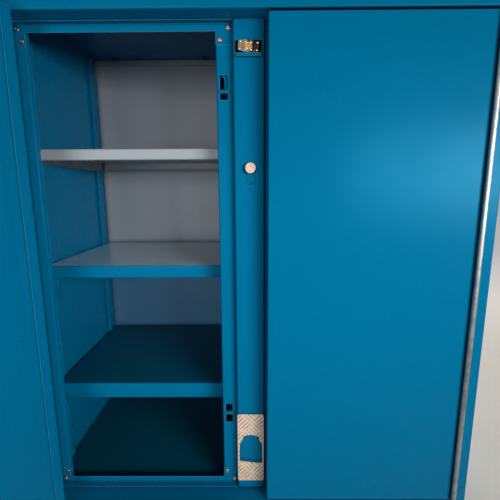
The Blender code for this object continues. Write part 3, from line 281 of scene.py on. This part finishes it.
def turned_steel():
    """Steel faced on a lathe, with a coppery wash: an even satin disc with fine rings round its middle."""
    finish, tree, shader, at = bare_finish("turned_steel", Metallic=0.8)
    centred = add(tree, "ShaderNodeMapping", {"Vector": at, "Location": -KNOB_MIDDLE})
    flat = add(tree, "ShaderNodeVectorMath", {0: centred.outputs["Vector"], 1: (1.0, 0.0, 1.0)},
               operation="MULTIPLY")
    reach = add(tree, "ShaderNodeVectorMath", {0: flat.outputs["Vector"]}, operation="LENGTH")
    # Tool marks, drawn 0.9 mm apart instead of 0.1 mm
    marks = calc(tree, "SINE", calc(tree, "MULTIPLY", reach.outputs["Value"], 2 * math.pi / (0.9 * MM)))
    stains = noise(tree, at, 12 * MM, 1.0)
    tone = blend(tree, stains, "#DFB08C", "#F2CAA8")
    rough = ranged(tree, stains, *NOISE_RANGE, 0.24, 0.32)
    wire(tree, shader, tone, rough, bumped(tree, marks, 0.01 * MM, 0.15))
    return finish


def laminated_steel():
    """Stamped steel plates riveted in a stack: a dark, handled face with upright brush marks, whose pale
    streaks are a painted warm highlight, with painted light on the left side and painted shade on the right."""
    finish, tree, shader, at = bare_finish("laminated_steel", Metallic=1.0)
    upright = add(tree, "ShaderNodeMapping", {"Vector": at, "Location": -PADLOCK_MIDDLE})
    level = add(tree, "ShaderNodeMapping", {"Vector": upright.outputs["Vector"],
                                            "Rotation": (0, -PADLOCK_TILT, 0)})
    # Brush marks, drawn 2.6 mm wide so that they show
    lines = drawn_noise(tree, level.outputs["Vector"], (2.6 * MM, 20 * MM, 40 * MM), 2.0)
    across = add(tree, "ShaderNodeSeparateXYZ", {"Vector": level.outputs["Vector"]})
    # Painted light and shade across the face: paler on the left, darker on the right
    side_light_and_shade = ranged(tree, across.outputs["X"], -8 * MM, 12 * MM, 0.16, -0.10)
    tone = ramp(tree, calc(tree, "ADD", lines, side_light_and_shade), (0.48, "#352D2A"), (0.80, "#DDC09E"))
    rough = ranged(tree, lines, *NOISE_RANGE, 0.48, 0.30)
    wire(tree, shader, tone, rough, bumped(tree, lines, 0.25 * MM, 0.6))
    return finish


def worn_metal(name, dark, light, smooth, dull, patch, metallic=1.0):
    """A small, handled metal part: two tones in patches of the given size, duller where it is darker."""
    finish, tree, shader, at = bare_finish(name, Metallic=metallic)
    patches = noise(tree, at, patch, 3.0)
    tone = blend(tree, patches, dark, light)
    rough = ranged(tree, patches, *NOISE_RANGE, dull, smooth)
    wire(tree, shader, tone, rough, bumped(tree, patches, 0.05 * MM, 0.3))
    return finish


finishes = {
    # Saturated blue gloss of the doors, frame and body, and the satin grey of the upper shelf
    "blue_powder_coat": powder_coat("blue_powder_coat", BLUE, (0.24, 0.32), 0.22),
    "grey_powder_coat": powder_coat("grey_powder_coat", GREY, (0.34, 0.44), 0.4),
    "zinc_plated_steel": zinc_plate(),
    "tread_aluminium": rolled_aluminium(),
    "turned_steel": turned_steel(),
    "laminated_steel": laminated_steel(),
    # Cast and turned brass, bright where keys rub it
    "brass": worn_metal("turned_brass", "#F39A22", "#FFC052", 0.26, 0.40, 3 * MM, metallic=0.65),
}
# Three blue sheets have a grey face: the back panel inside, the roof on its rear flange, which stands before
# that, and the middle shelf on top, paler there as painted light. The lower shelf's top and the floor inside
# are painted darker as painted shade.
two_colour = {
    "back_panel": powder_coat(
        "grey_backed_powder_coat", BLUE, (0.34, 0.44), 0.15, seam_reach=22 * MM,
        face={"tones": WALL_GREY, "axis": "Y", "start": BACK_SHEET_MIDDLE + 0.2 * MM,
              "full": BACK_SHEET_MIDDLE - 0.2 * MM, "share_below": 0.2, "sheen": WHITE}),
    "top_panel": powder_coat(
        "grey_flanged_powder_coat", BLUE, (0.24, 0.32), 0.22,
        face={"tones": WALL_GREY, "axis": "Y", "start": ROOF_FLANGE - 0.5 * MM,
              "full": ROOF_FLANGE - 0.1 * MM, "share_below": 1.0, "sheen": WHITE}),
    "middle_shelf": powder_coat(
        "grey_lit_topped_powder_coat", BLUE, (0.16, 0.24), 0.5,
        face={"tones": SHELF_GREY_AND_LIGHT, "axis": "Z", "start": SHELF_TOP - 0.5 * MM,
              "full": SHELF_TOP - 0.3 * MM, "share_below": 1.0, "sheen": WHITE}),
    "lower_shelf": powder_coat(
        "shaded_shelf_powder_coat", BLUE, (0.30, 0.40), 0.2,
        face={"tones": SHELF_SHADE_TONES, "axis": "Z", "start": LOWER_SHELF_TOP - 0.5 * MM,
              "full": LOWER_SHELF_TOP - 0.3 * MM, "share_below": 1.0, "sheen": BLUE["sheen"]}),
    "floor_panel": powder_coat(
        "shaded_floor_powder_coat", BLUE, (0.30, 0.40), 0.2,
        face={"tones": FLOOR_SHADE_TONES, "axis": "Y", "start": FRAME_FRONT + 2 * MM,
              "full": FRAME_FRONT + 8 * MM, "share_below": 1.0, "sheen": BLUE["sheen"]}),
}
# Drawn steel of a blind rivet's head, with a coppery wash
rivet_steel = worn_metal("copper_washed_rivet", "#C08A6C", "#E6B697", 0.28, 0.42, 4 * MM)
# Bars of the tread plate: smoother aluminium that mirrors the darker room, with darker patches as painted
# shade
bar_metal = worn_metal("rubbed_shaded_aluminium", "#94796A", "#F4D9C4", 0.26, 0.40, 24 * MM, metallic=0.5)
# Polished steel of the padlock's rivets, the plug's collar and the knob's edges, on the knob partly a
# painted highlight: small bright lights
rivet_polish = worn_metal("polished_rivet", "#F0D6BE", "#FFF0E0", 0.18, 0.32, 2 * MM, metallic=0.75)


def starting_tree(name, sizes, metals=()):
    """Starts a Geometry Nodes tree with named inputs for its sizes and metals."""
    tree = bpy.data.node_groups.new(name, "GeometryNodeTree")
    tree.interface.new_socket("Geometry", in_out="INPUT", socket_type="NodeSocketGeometry")
    for label in sizes:
        tree.interface.new_socket(label, in_out="INPUT", socket_type="NodeSocketFloat")
    for label in metals:
        tree.interface.new_socket(label, in_out="INPUT", socket_type="NodeSocketMaterial")
    tree.interface.new_socket("Geometry", in_out="OUTPUT", socket_type="NodeSocketGeometry")
    return tree, add(tree, "NodeGroupInput").outputs


def finished_tree(tree, placed, metal):
    """Ends a tree: the copies on the points become plain geometry of one metal."""
    real = add(tree, "GeometryNodeRealizeInstances", {"Geometry": placed.outputs["Instances"]})
    dressed = add(tree, "GeometryNodeSetMaterial", {"Geometry": real.outputs[0], "Material": metal})
    add(tree, "NodeGroupOutput", {"Geometry": dressed.outputs[0]})
    return tree


def rivet_tree(name, profile):
    """Round heads on points, facing the front. The profile gives the rise by radius, both from 0 to 1."""
    tree, size = starting_tree(name, ("Head Radius", "Head Rise", "Sunk Depth"), ("Head Metal",))
    blank = add(tree, "GeometryNodeMeshCylinder",
                {"Vertices": 28, "Side Segments": 1, "Fill Segments": 9, "Radius": size["Head Radius"],
                 "Depth": size["Sunk Depth"]}, fill_type="TRIANGLE_FAN")
    position = add(tree, "GeometryNodeInputPosition")
    spot = add(tree, "ShaderNodeSeparateXYZ", {"Vector": position.outputs[0]}).outputs
    flat = add(tree, "ShaderNodeCombineXYZ", {"X": spot["X"], "Y": spot["Y"]})
    reach = add(tree, "ShaderNodeVectorMath", {0: flat.outputs["Vector"]}, operation="LENGTH")
    share = calc(tree, "DIVIDE", reach.outputs["Value"], size["Head Radius"])
    curve = add(tree, "ShaderNodeFloatCurve", {"Value": share})
    points = curve.mapping.curves[0].points
    while len(points) < len(profile):
        points.new(0.5, 0.5)
    for point, place in zip(points, profile):
        point.location = place
    curve.mapping.update()
    rise = calc(tree, "MULTIPLY", curve.outputs["Value"], size["Head Rise"])
    domed = add(tree, "ShaderNodeCombineXYZ", {"X": spot["X"], "Y": spot["Y"], "Z": rise})
    upper = add(tree, "FunctionNodeCompare", {0: spot["Z"], 1: 0.0}, operation="GREATER_THAN")
    head = add(tree, "GeometryNodeSetPosition",
               {"Geometry": blank.outputs["Mesh"], "Selection": upper.outputs[0],
                "Position": domed.outputs["Vector"]})
    smooth = add(tree, "GeometryNodeSetShadeSmooth", {"Geometry": head.outputs["Geometry"]})
    placed = add(tree, "GeometryNodeInstanceOnPoints",
                 {"Points": size["Geometry"], "Instance": smooth.outputs[0],
                  "Rotation": (math.pi / 2, 0.0, 0.0)})
    return finished_tree(tree, placed, size["Head Metal"])


def tread_bar_tree():
    """Raised lens-shaped bars on points, turned by each point's own angle and half sunk in the plate."""
    tree, size = starting_tree("tread_bars", ("Bar Length", "Bar Width", "Bar Rise"), ("Plate Metal",))
    lens = add(tree, "GeometryNodeMeshUVSphere", {"Segments": 20, "Rings": 10, "Radius": 0.5})
    stretch = add(tree, "ShaderNodeCombineXYZ", {"X": size["Bar Length"], "Y": size["Bar Width"],
                                                 "Z": calc(tree, "MULTIPLY", size["Bar Rise"], 2.0)})
    angle = add(tree, "GeometryNodeInputNamedAttribute", {"Name": "angle"}, data_type="FLOAT")
    turn = add(tree, "ShaderNodeCombineXYZ", {"X": math.pi / 2, "Y": angle.outputs["Attribute"]})
    smooth = add(tree, "GeometryNodeSetShadeSmooth", {"Geometry": lens.outputs["Mesh"]})
    placed = add(tree, "GeometryNodeInstanceOnPoints",
                 {"Points": size["Geometry"], "Instance": smooth.outputs[0],
                  "Rotation": turn.outputs["Vector"], "Scale": stretch.outputs["Vector"]})
    return finished_tree(tree, placed, size["Plate Metal"])


def roof_nut_tree():
    """Hexagon nuts under the roof, each on a washer with the bolt's end standing through it."""
    tree, size = starting_tree("roof_nuts", ("Across Flats", "Nut Height"), ("Nut Metal",))
    corner, washer, shank = (calc(tree, "MULTIPLY", size["Across Flats"], share)
                             for share in (1 / math.sqrt(3), 0.80, 0.30))
    joined = add(tree, "GeometryNodeJoinGeometry")
    # Sides, radius, and in nut heights the piece's own height and how far below the roof its middle hangs
    for sides, radius, share, middle in ((6, corner, 1.0, -0.72), (32, washer, 0.22, -0.11),
                                         (24, shank, 0.5, -1.45)):
        height = calc(tree, "MULTIPLY", size["Nut Height"], share)
        hang = add(tree, "ShaderNodeCombineXYZ", {"Z": calc(tree, "MULTIPLY", size["Nut Height"], middle)})
        blank = add(tree, "GeometryNodeMeshCylinder", {"Vertices": sides, "Radius": radius, "Depth": height})
        hung = add(tree, "GeometryNodeTransform", {"Geometry": blank.outputs["Mesh"],
                                                   "Translation": hang.outputs["Vector"]})
        tree.links.new(hung.outputs["Geometry"], joined.inputs["Geometry"])
    placed = add(tree, "GeometryNodeInstanceOnPoints",
                 {"Points": size["Geometry"], "Instance": joined.outputs[0]})
    return finished_tree(tree, placed, size["Nut Metal"])


def bend_tree():
    """Shades the bends of a sheet smooth and keeps its sharper edges."""
    tree, size = starting_tree("smooth_bends", ("Sharp Angle",))
    tree.interface.items_tree["Sharp Angle"].default_value = BEND_ANGLE
    bend = add(tree, "GeometryNodeInputMeshEdgeAngle")
    sharp = add(tree, "FunctionNodeCompare", {0: bend.outputs["Unsigned Angle"], 1: size["Sharp Angle"]},
                operation="GREATER_THAN")
    smooth = add(tree, "GeometryNodeSetShadeSmooth", {"Geometry": size["Geometry"]}, domain="FACE")
    kept = add(tree, "GeometryNodeSetShadeSmooth",
               {"Geometry": smooth.outputs[0], "Selection": sharp.outputs[0], "Shade Smooth": False},
               domain="EDGE")
    add(tree, "NodeGroupOutput", {"Geometry": kept.outputs[0]})
    return tree


def link_piece(name, mesh):
    """Makes an object of a mesh at the origin."""
    piece = bpy.data.objects.new(name, mesh)
    scene.collection.objects.link(piece)
    return piece


def plain_mesh(piece):
    """Turns a piece's evaluated mesh into its own plain mesh and removes its modifiers."""
    made = bpy.data.meshes.new_from_object(piece.evaluated_get(bpy.context.evaluated_depsgraph_get()))
    piece.modifiers.clear()
    piece.data = made
    if made.materials[0] is None:
        made.materials.pop(index=0)
    made.name = piece.name
    return piece


def grown(name, tree, spots, inputs, angles=None):
    """Runs a tree on points and keeps what grows there as a plain mesh."""
    seeds = bpy.data.meshes.new(name)
    seeds.from_pydata(spots, [], [])
    if angles:
        seeds.attributes.new("angle", "FLOAT", "POINT").data.foreach_set("value", angles)
    piece = link_piece(name, seeds)
    modifier = piece.modifiers.new("grow", "NODES")
    modifier.node_group = tree
    for socket in tree.interface.items_tree:
        if socket.in_out == "INPUT" and socket.name in inputs:
            modifier[socket.identifier] = inputs[socket.name]
    return plain_mesh(piece)


def settled(piece, body):
    """A finished piece rides on its body."""
    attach(piece, body)


def mesh_of(name, form):
    """The mesh of a bmesh, which is used up, with its faces turned outward."""
    bmesh.ops.recalc_face_normals(form, faces=form.faces)
    mesh = bpy.data.meshes.new(name)
    form.to_mesh(mesh)
    form.free()
    return mesh


def turned(name, profile, middle, metal, sides):
    """A piece turned on a lathe about an axis along Y: the profile is (radius, distance before the middle).
    A profile that doesn't start on the axis is closed into a ring."""
    form = bmesh.new()
    rows = []
    for radius, front in profile:
        if radius == 0:
            rows.append([form.verts.new(middle + Vector((0, -front, 0)))])
            continue
        around = [2 * math.pi * k / sides for k in range(sides)]
        rows.append([form.verts.new(middle + Vector((radius * math.cos(a), -front, radius * math.sin(a))))
                     for a in around])
    if profile[0][0] > 0:
        rows.append(rows[0])
    for near, far in zip(rows, rows[1:]):
        for k in range(sides):
            ring = (near[k % len(near)], near[(k + 1) % len(near)],
                    far[(k + 1) % len(far)], far[k % len(far)])
            form.faces.new(list(dict.fromkeys(ring)))
    mesh = mesh_of(name, form)
    mesh.shade_smooth()
    mesh.set_sharp_from_angle(angle=TURNED_SHARP)
    mesh.materials.append(metal)
    return link_piece(name, mesh)


def prism(name, ring, along):
    """A cutter: a ring of corners drawn out along a vector."""
    count = len(ring)
    form = bmesh.new()
    bar_shade = [form.verts.new(spot) for spot in [*ring, *(spot + along for spot in ring)]]
    form.faces.new(bar_shade[:count])
    form.faces.new(bar_shade[count:])
    for k in range(count):
        m = (k + 1) % count
        form.faces.new((bar_shade[k], bar_shade[m], bar_shade[count + m], bar_shade[count + k]))
    return link_piece(name, mesh_of(name, form))


def cut_by(piece, cutter, operation):
    """Cuts a piece with another mesh, which is used up."""
    boolean = piece.modifiers.new("cut", "BOOLEAN")
    boolean.object, boolean.operation, boolean.solver = cutter, operation, "MANIFOLD"
    plain_mesh(piece)
    bpy.data.objects.remove(cutter)


# Finish of the solids and their edges: cut edges eased, bends shaded smooth and large flats kept even
smooth_bends = bend_tree()
for subpart in frame["record"]["subparts"]:
    sheet = sheet_metal[subpart["node"]]
    sheet.data.materials.clear()
    sheet.data.materials.append(two_colour.get(subpart["node"], finishes[subpart["material_slot"]]))
    weld = sheet.modifiers.new("merge", "WELD")
    weld.merge_threshold = MERGE_REACH
    flat = sheet.modifiers.new("join_flats", "DECIMATE")
    flat.decimate_type, flat.angle_limit = "DISSOLVE", FLAT_ANGLE
    ease = sheet.modifiers.new("ease_edges", "BEVEL")
    ease.width, ease.segments, ease.limit_method, ease.angle_limit = EDGE_EASE, 2, "ANGLE", EASED_ANGLE
    bends = sheet.modifiers.new("smooth_bends", "NODES")
    bends.node_group = smooth_bends
    flats = sheet.modifiers.new("even_flats", "WEIGHTED_NORMAL")
    flats.weight, flats.keep_sharp = 100, True

# Blind rivets of the inner frame, with the mandrel's end sunk in each head
frame_spots = [(side * x, FRAME_FRONT, z) for x, rise in FRAME_RIVETS for side in (-1, 1)
               for z in (SILL + rise, SOFFIT - rise)]
frame_rivets = grown("frame_rivets", rivet_tree("blind_rivets", FRAME_RIVET_PROFILE), frame_spots,
                     {"Head Radius": FRAME_RIVET_RADIUS, "Head Rise": FRAME_RIVET_RISE,
                      "Sunk Depth": FRAME_RIVET_SUNK, "Head Metal": rivet_steel})
settled(frame_rivets, "cabinet")

# Padlock: riveted face and keyed plug
lock_turn = Matrix.Rotation(PADLOCK_TILT, 3, "Y")
lock_spots = [PADLOCK_MIDDLE + lock_turn @ Vector((across * x, 0, up * PADLOCK_RIVETS_UP))
              for across in (-1, 1) for x in PADLOCK_RIVETS_ACROSS for up in (-1, 1)]
padlock_rivets = grown("padlock_rivets", rivet_tree("padlock_rivets", PADLOCK_RIVET_PROFILE), lock_spots,
                       {"Head Radius": PADLOCK_RIVET_RADIUS, "Head Rise": PADLOCK_RIVET_RISE,
                        "Sunk Depth": PADLOCK_RIVET_SUNK, "Head Metal": rivet_polish})
settled(padlock_rivets, "padlock")

plug_low, plug_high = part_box("padlock_plug")
plug_front = PADLOCK_MIDDLE.y - plug_low[1]
plug_back = PADLOCK_MIDDLE.y - plug_high[1]
plug_profile = ((0, plug_back), (PLUG_RADIUS, plug_back), (PLUG_RADIUS, plug_front - PLUG_CHAMFER),
                (PLUG_RADIUS - PLUG_CHAMFER, plug_front), (0, plug_front))
keyed_plug = turned("keyed_plug", plug_profile, PADLOCK_MIDDLE, finishes["brass"], PLUG_SIDES)
# The keyway's cutter starts 1 mm before the plug
keyway_ring = [Vector((x * KEYWAY_WIDTH / 2, -plug_front - MM, z * KEYWAY_HEIGHT / 2))
               for x, z in KEYWAY_RING]
keyway = prism("keyway", [PADLOCK_MIDDLE + lock_turn @ corner for corner in keyway_ring],
               Vector((0, KEYWAY_DEPTH + MM, 0)))
cut_by(keyed_plug, keyway, "DIFFERENCE")
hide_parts("padlock_plug")
settled(keyed_plug, "plug")

# Round-sectioned collar that holds the plug, half sunk in the face
collar_turns = [math.radians(360 / COLLAR_STEPS * k) for k in range(COLLAR_STEPS)]
collar_ring = [(COLLAR_RADIUS + COLLAR_SECTION * math.cos(turn), COLLAR_SECTION * math.sin(turn))
               for turn in collar_turns]
collar = turned("plug_collar", collar_ring, PADLOCK_MIDDLE, rivet_polish, PLUG_SIDES)
settled(collar, "padlock")

# Raised bars of the tread plate, trimmed to the plate's outline and its padlock-shaped opening
tread_low, tread_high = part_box("tread_plate")
bar_spots, bar_angles = [], []
for column in TREAD_COLUMNS:
    for row in TREAD_ROWS:
        if (column + row) % 2:
            continue
        lean = 1 if column % 2 == 0 else -1
        middle = TREAD_START + Vector((column * TREAD_STEP, tread_low[1], row * TREAD_STEP))
        for bar in GROUP_BARS:
            shift = bar * BAR_SPACING / math.sqrt(2)
            bar_spots.append(middle + Vector((shift, 0, lean * shift)))
            bar_angles.append(lean * math.pi / 4)
tread_bars = grown("tread_bars", tread_bar_tree(), bar_spots,
                   {"Bar Length": BAR_LENGTH, "Bar Width": BAR_WIDTH, "Bar Rise": BAR_RISE,
                    "Plate Metal": bar_metal}, bar_angles)
outline = bmesh.new()
outline.from_mesh(sheet_metal["tread_plate"].data)
bmesh.ops.remove_doubles(outline, verts=outline.verts, dist=MERGE_REACH)
for corner in outline.verts:
    at_front = corner.co.y < (tread_low[1] + tread_high[1]) / 2
    corner.co.y = tread_low[1] + (-TRIM_FRONT if at_front else TRIM_BACK)
block = bpy.data.meshes.new("tread_outline")
outline.to_mesh(block)
outline.free()
cut_by(tread_bars, link_piece("tread_outline", block), "INTERSECT")
settled(tread_bars, "cabinet")

# Turned knob: a chamfered rim, a stepped flat face and a lopsided groove, its broad wall facing up and right
knob_low, knob_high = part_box("lock_knob")
knob_radius, knob_length = (knob_high[0] - knob_low[0]) / 2, knob_high[1] - knob_low[1]
knob_edge = [(knob_radius - inward * MM, -back * MM) for inward, back in KNOB_EDGE]
knob = turned("turned_knob", [(0, -knob_length), (knob_radius, -knob_length), *knob_edge, (0, -KNOB_STEP)],
              KNOB_MIDDLE, finishes["turned_steel"], KNOB_SIDES)
groove_run, groove_side = Vector((1, 0, -1)).normalized(), Vector((1, 0, 1)).normalized()
groove_half = knob_radius - GROOVE_INSET
groove_start = KNOB_MIDDLE - groove_run * groove_half
groove_ring = [groove_start + groove_side * side * MM + Vector((0, deep * MM, 0))
               for side, deep in GROOVE_CORNERS]
groove = prism("groove", groove_ring, groove_run * 2 * groove_half)
cut_by(knob, groove, "DIFFERENCE")
# The groove's walls and the chamfer get the brighter polished steel: polish from use, partly a painted
# highlight
knob.data.materials.append(rivet_polish)
for facet in knob.data.polygons:
    facet.material_index = 1 if POLISH_LEAST < -facet.normal.y < POLISH_MOST else 0
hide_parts("lock_knob")
settled(knob, "lock_bar")

# Nuts under the roof, painted over with it
roof_nuts = grown("roof_nuts", roof_nut_tree(),
                  [(side * x, ROOF_NUTS_BACK, ROOF_UNDERSIDE) for x in ROOF_NUTS_ACROSS for side in (-1, 1)],
                  {"Across Flats": NUT_ACROSS_FLATS, "Nut Height": NUT_HEIGHT,
                   "Nut Metal": finishes["blue_powder_coat"]})
settled(roof_nuts, "cabinet")

# Camera
camera = bpy.data.objects.new("camera", bpy.data.cameras.new("camera"))
camera.data.sensor_width = SENSOR_WIDTH
camera.data.lens = SENSOR_WIDTH * FOCAL_PIXELS / PICTURE_PIXELS
look = (Matrix.Rotation(CAMERA_ROLL, 3, "Y") @ Matrix.Rotation(CAMERA_PITCH, 3, "X")
        @ Matrix.Rotation(CAMERA_YAW, 3, "Z"))
right, ahead, up = look.row
camera.matrix_world = Matrix.Translation(CAMERA_PLACE) @ Matrix((right, up, -ahead)).transposed().to_4x4()
scene.collection.objects.link(camera)
scene.camera = camera


def softbox(name, place, aim, width, height, brightness, spread=180):
    """A soft studio lamp facing a point, with a grid in front of it where its light spreads less."""
    lamp = bpy.data.lights.new(name, "AREA")
    lamp.shape, lamp.size, lamp.size_y = "RECTANGLE", width, height
    lamp.energy, lamp.spread = brightness * width * height * math.pi, math.radians(spread)
    stand = bpy.data.objects.new(name, lamp)
    stand.location = place
    stand.rotation_euler = (Vector(aim) - Vector(place)).to_track_quat("-Z", "Y").to_euler()
    scene.collection.objects.link(stand)


# Key from the right, a fill from the left that reaches the back wall, and lamps for the back and the sides
softbox("right_softbox", (1.44, -2.20, 1.14), (0.0, -0.3, 0.76), 1.3, 0.5, 5.1, spread=80)
softbox("left_softbox", (-0.98, -3.00, 1.04), (-0.98, 0.0, 1.02), 1.05, 1.1, 1.74, spread=80)
softbox("back_softbox", (0.3, 2.7, 3.0), (0.0, 0.8, 0.2), 3.0, 2.0, 5.0)
softbox("right_side_softbox", (3.3, 1.0, 1.7), (0.6, 0.0, 0.8), 1.6, 1.6, 3.2)
softbox("left_side_softbox", (-3.3, 1.0, 1.7), (-0.6, 0.0, 0.8), 1.6, 1.6, 3.2)


def sight(tree):
    """1 for what is seen of the studio, also in a mirror or through glass, and 0 for its light."""
    seen = add(tree, "ShaderNodeLightPath").outputs
    either = calc(tree, "MAXIMUM", seen["Is Camera Ray"], seen["Is Glossy Ray"])
    return calc(tree, "MAXIMUM", either, seen["Is Transmission Ray"])


# Plain pale floor, which fades far out into the even grey studio round it
floor_mesh = bpy.data.meshes.new("studio_floor")
floor_corners = [(x * FLOOR_HALF, y * FLOOR_HALF, 0) for x, y in ((-1, -1), (1, -1), (1, 1), (-1, 1))]
floor_mesh.from_pydata(floor_corners, [], [(0, 1, 2, 3)])
floor_finish, floor_nodes, floor_shader, floor_at = bare_finish("pale_studio_floor", Roughness=0.7,
                                                                Emission_Color=STUDIO_GREY)
floor_tone = blend(floor_nodes, noise(floor_nodes, floor_at, 400 * MM, 2.0), "#DDD6CC", "#E3DCD2")
floor_nodes.links.new(floor_tone, floor_shader.inputs["Base Color"])
floor_reach = add(floor_nodes, "ShaderNodeVectorMath", {0: floor_at}, operation="LENGTH")
floor_far = add(floor_nodes, "ShaderNodeMapRange",
                {"Value": floor_reach.outputs["Value"], "From Min": FADE_START, "From Max": FADE_END},
                interpolation_type="SMOOTHSTEP")
floor_glow = calc(floor_nodes, "MULTIPLY", floor_far.outputs["Result"], sight(floor_nodes))
floor_nodes.links.new(floor_glow, floor_shader.inputs["Emission Strength"])
floor_mesh.materials.append(floor_finish)
studio_floor = link_piece("studio_floor", floor_mesh)

world = bpy.data.worlds.new("studio")
scene.world = world
world.use_nodes = True
sky = world.node_tree
studio_tone = blend(sky, sight(sky), STUDIO_LIGHT, STUDIO_GREY)
sky.links.new(studio_tone, sky.nodes["Background"].inputs["Color"])
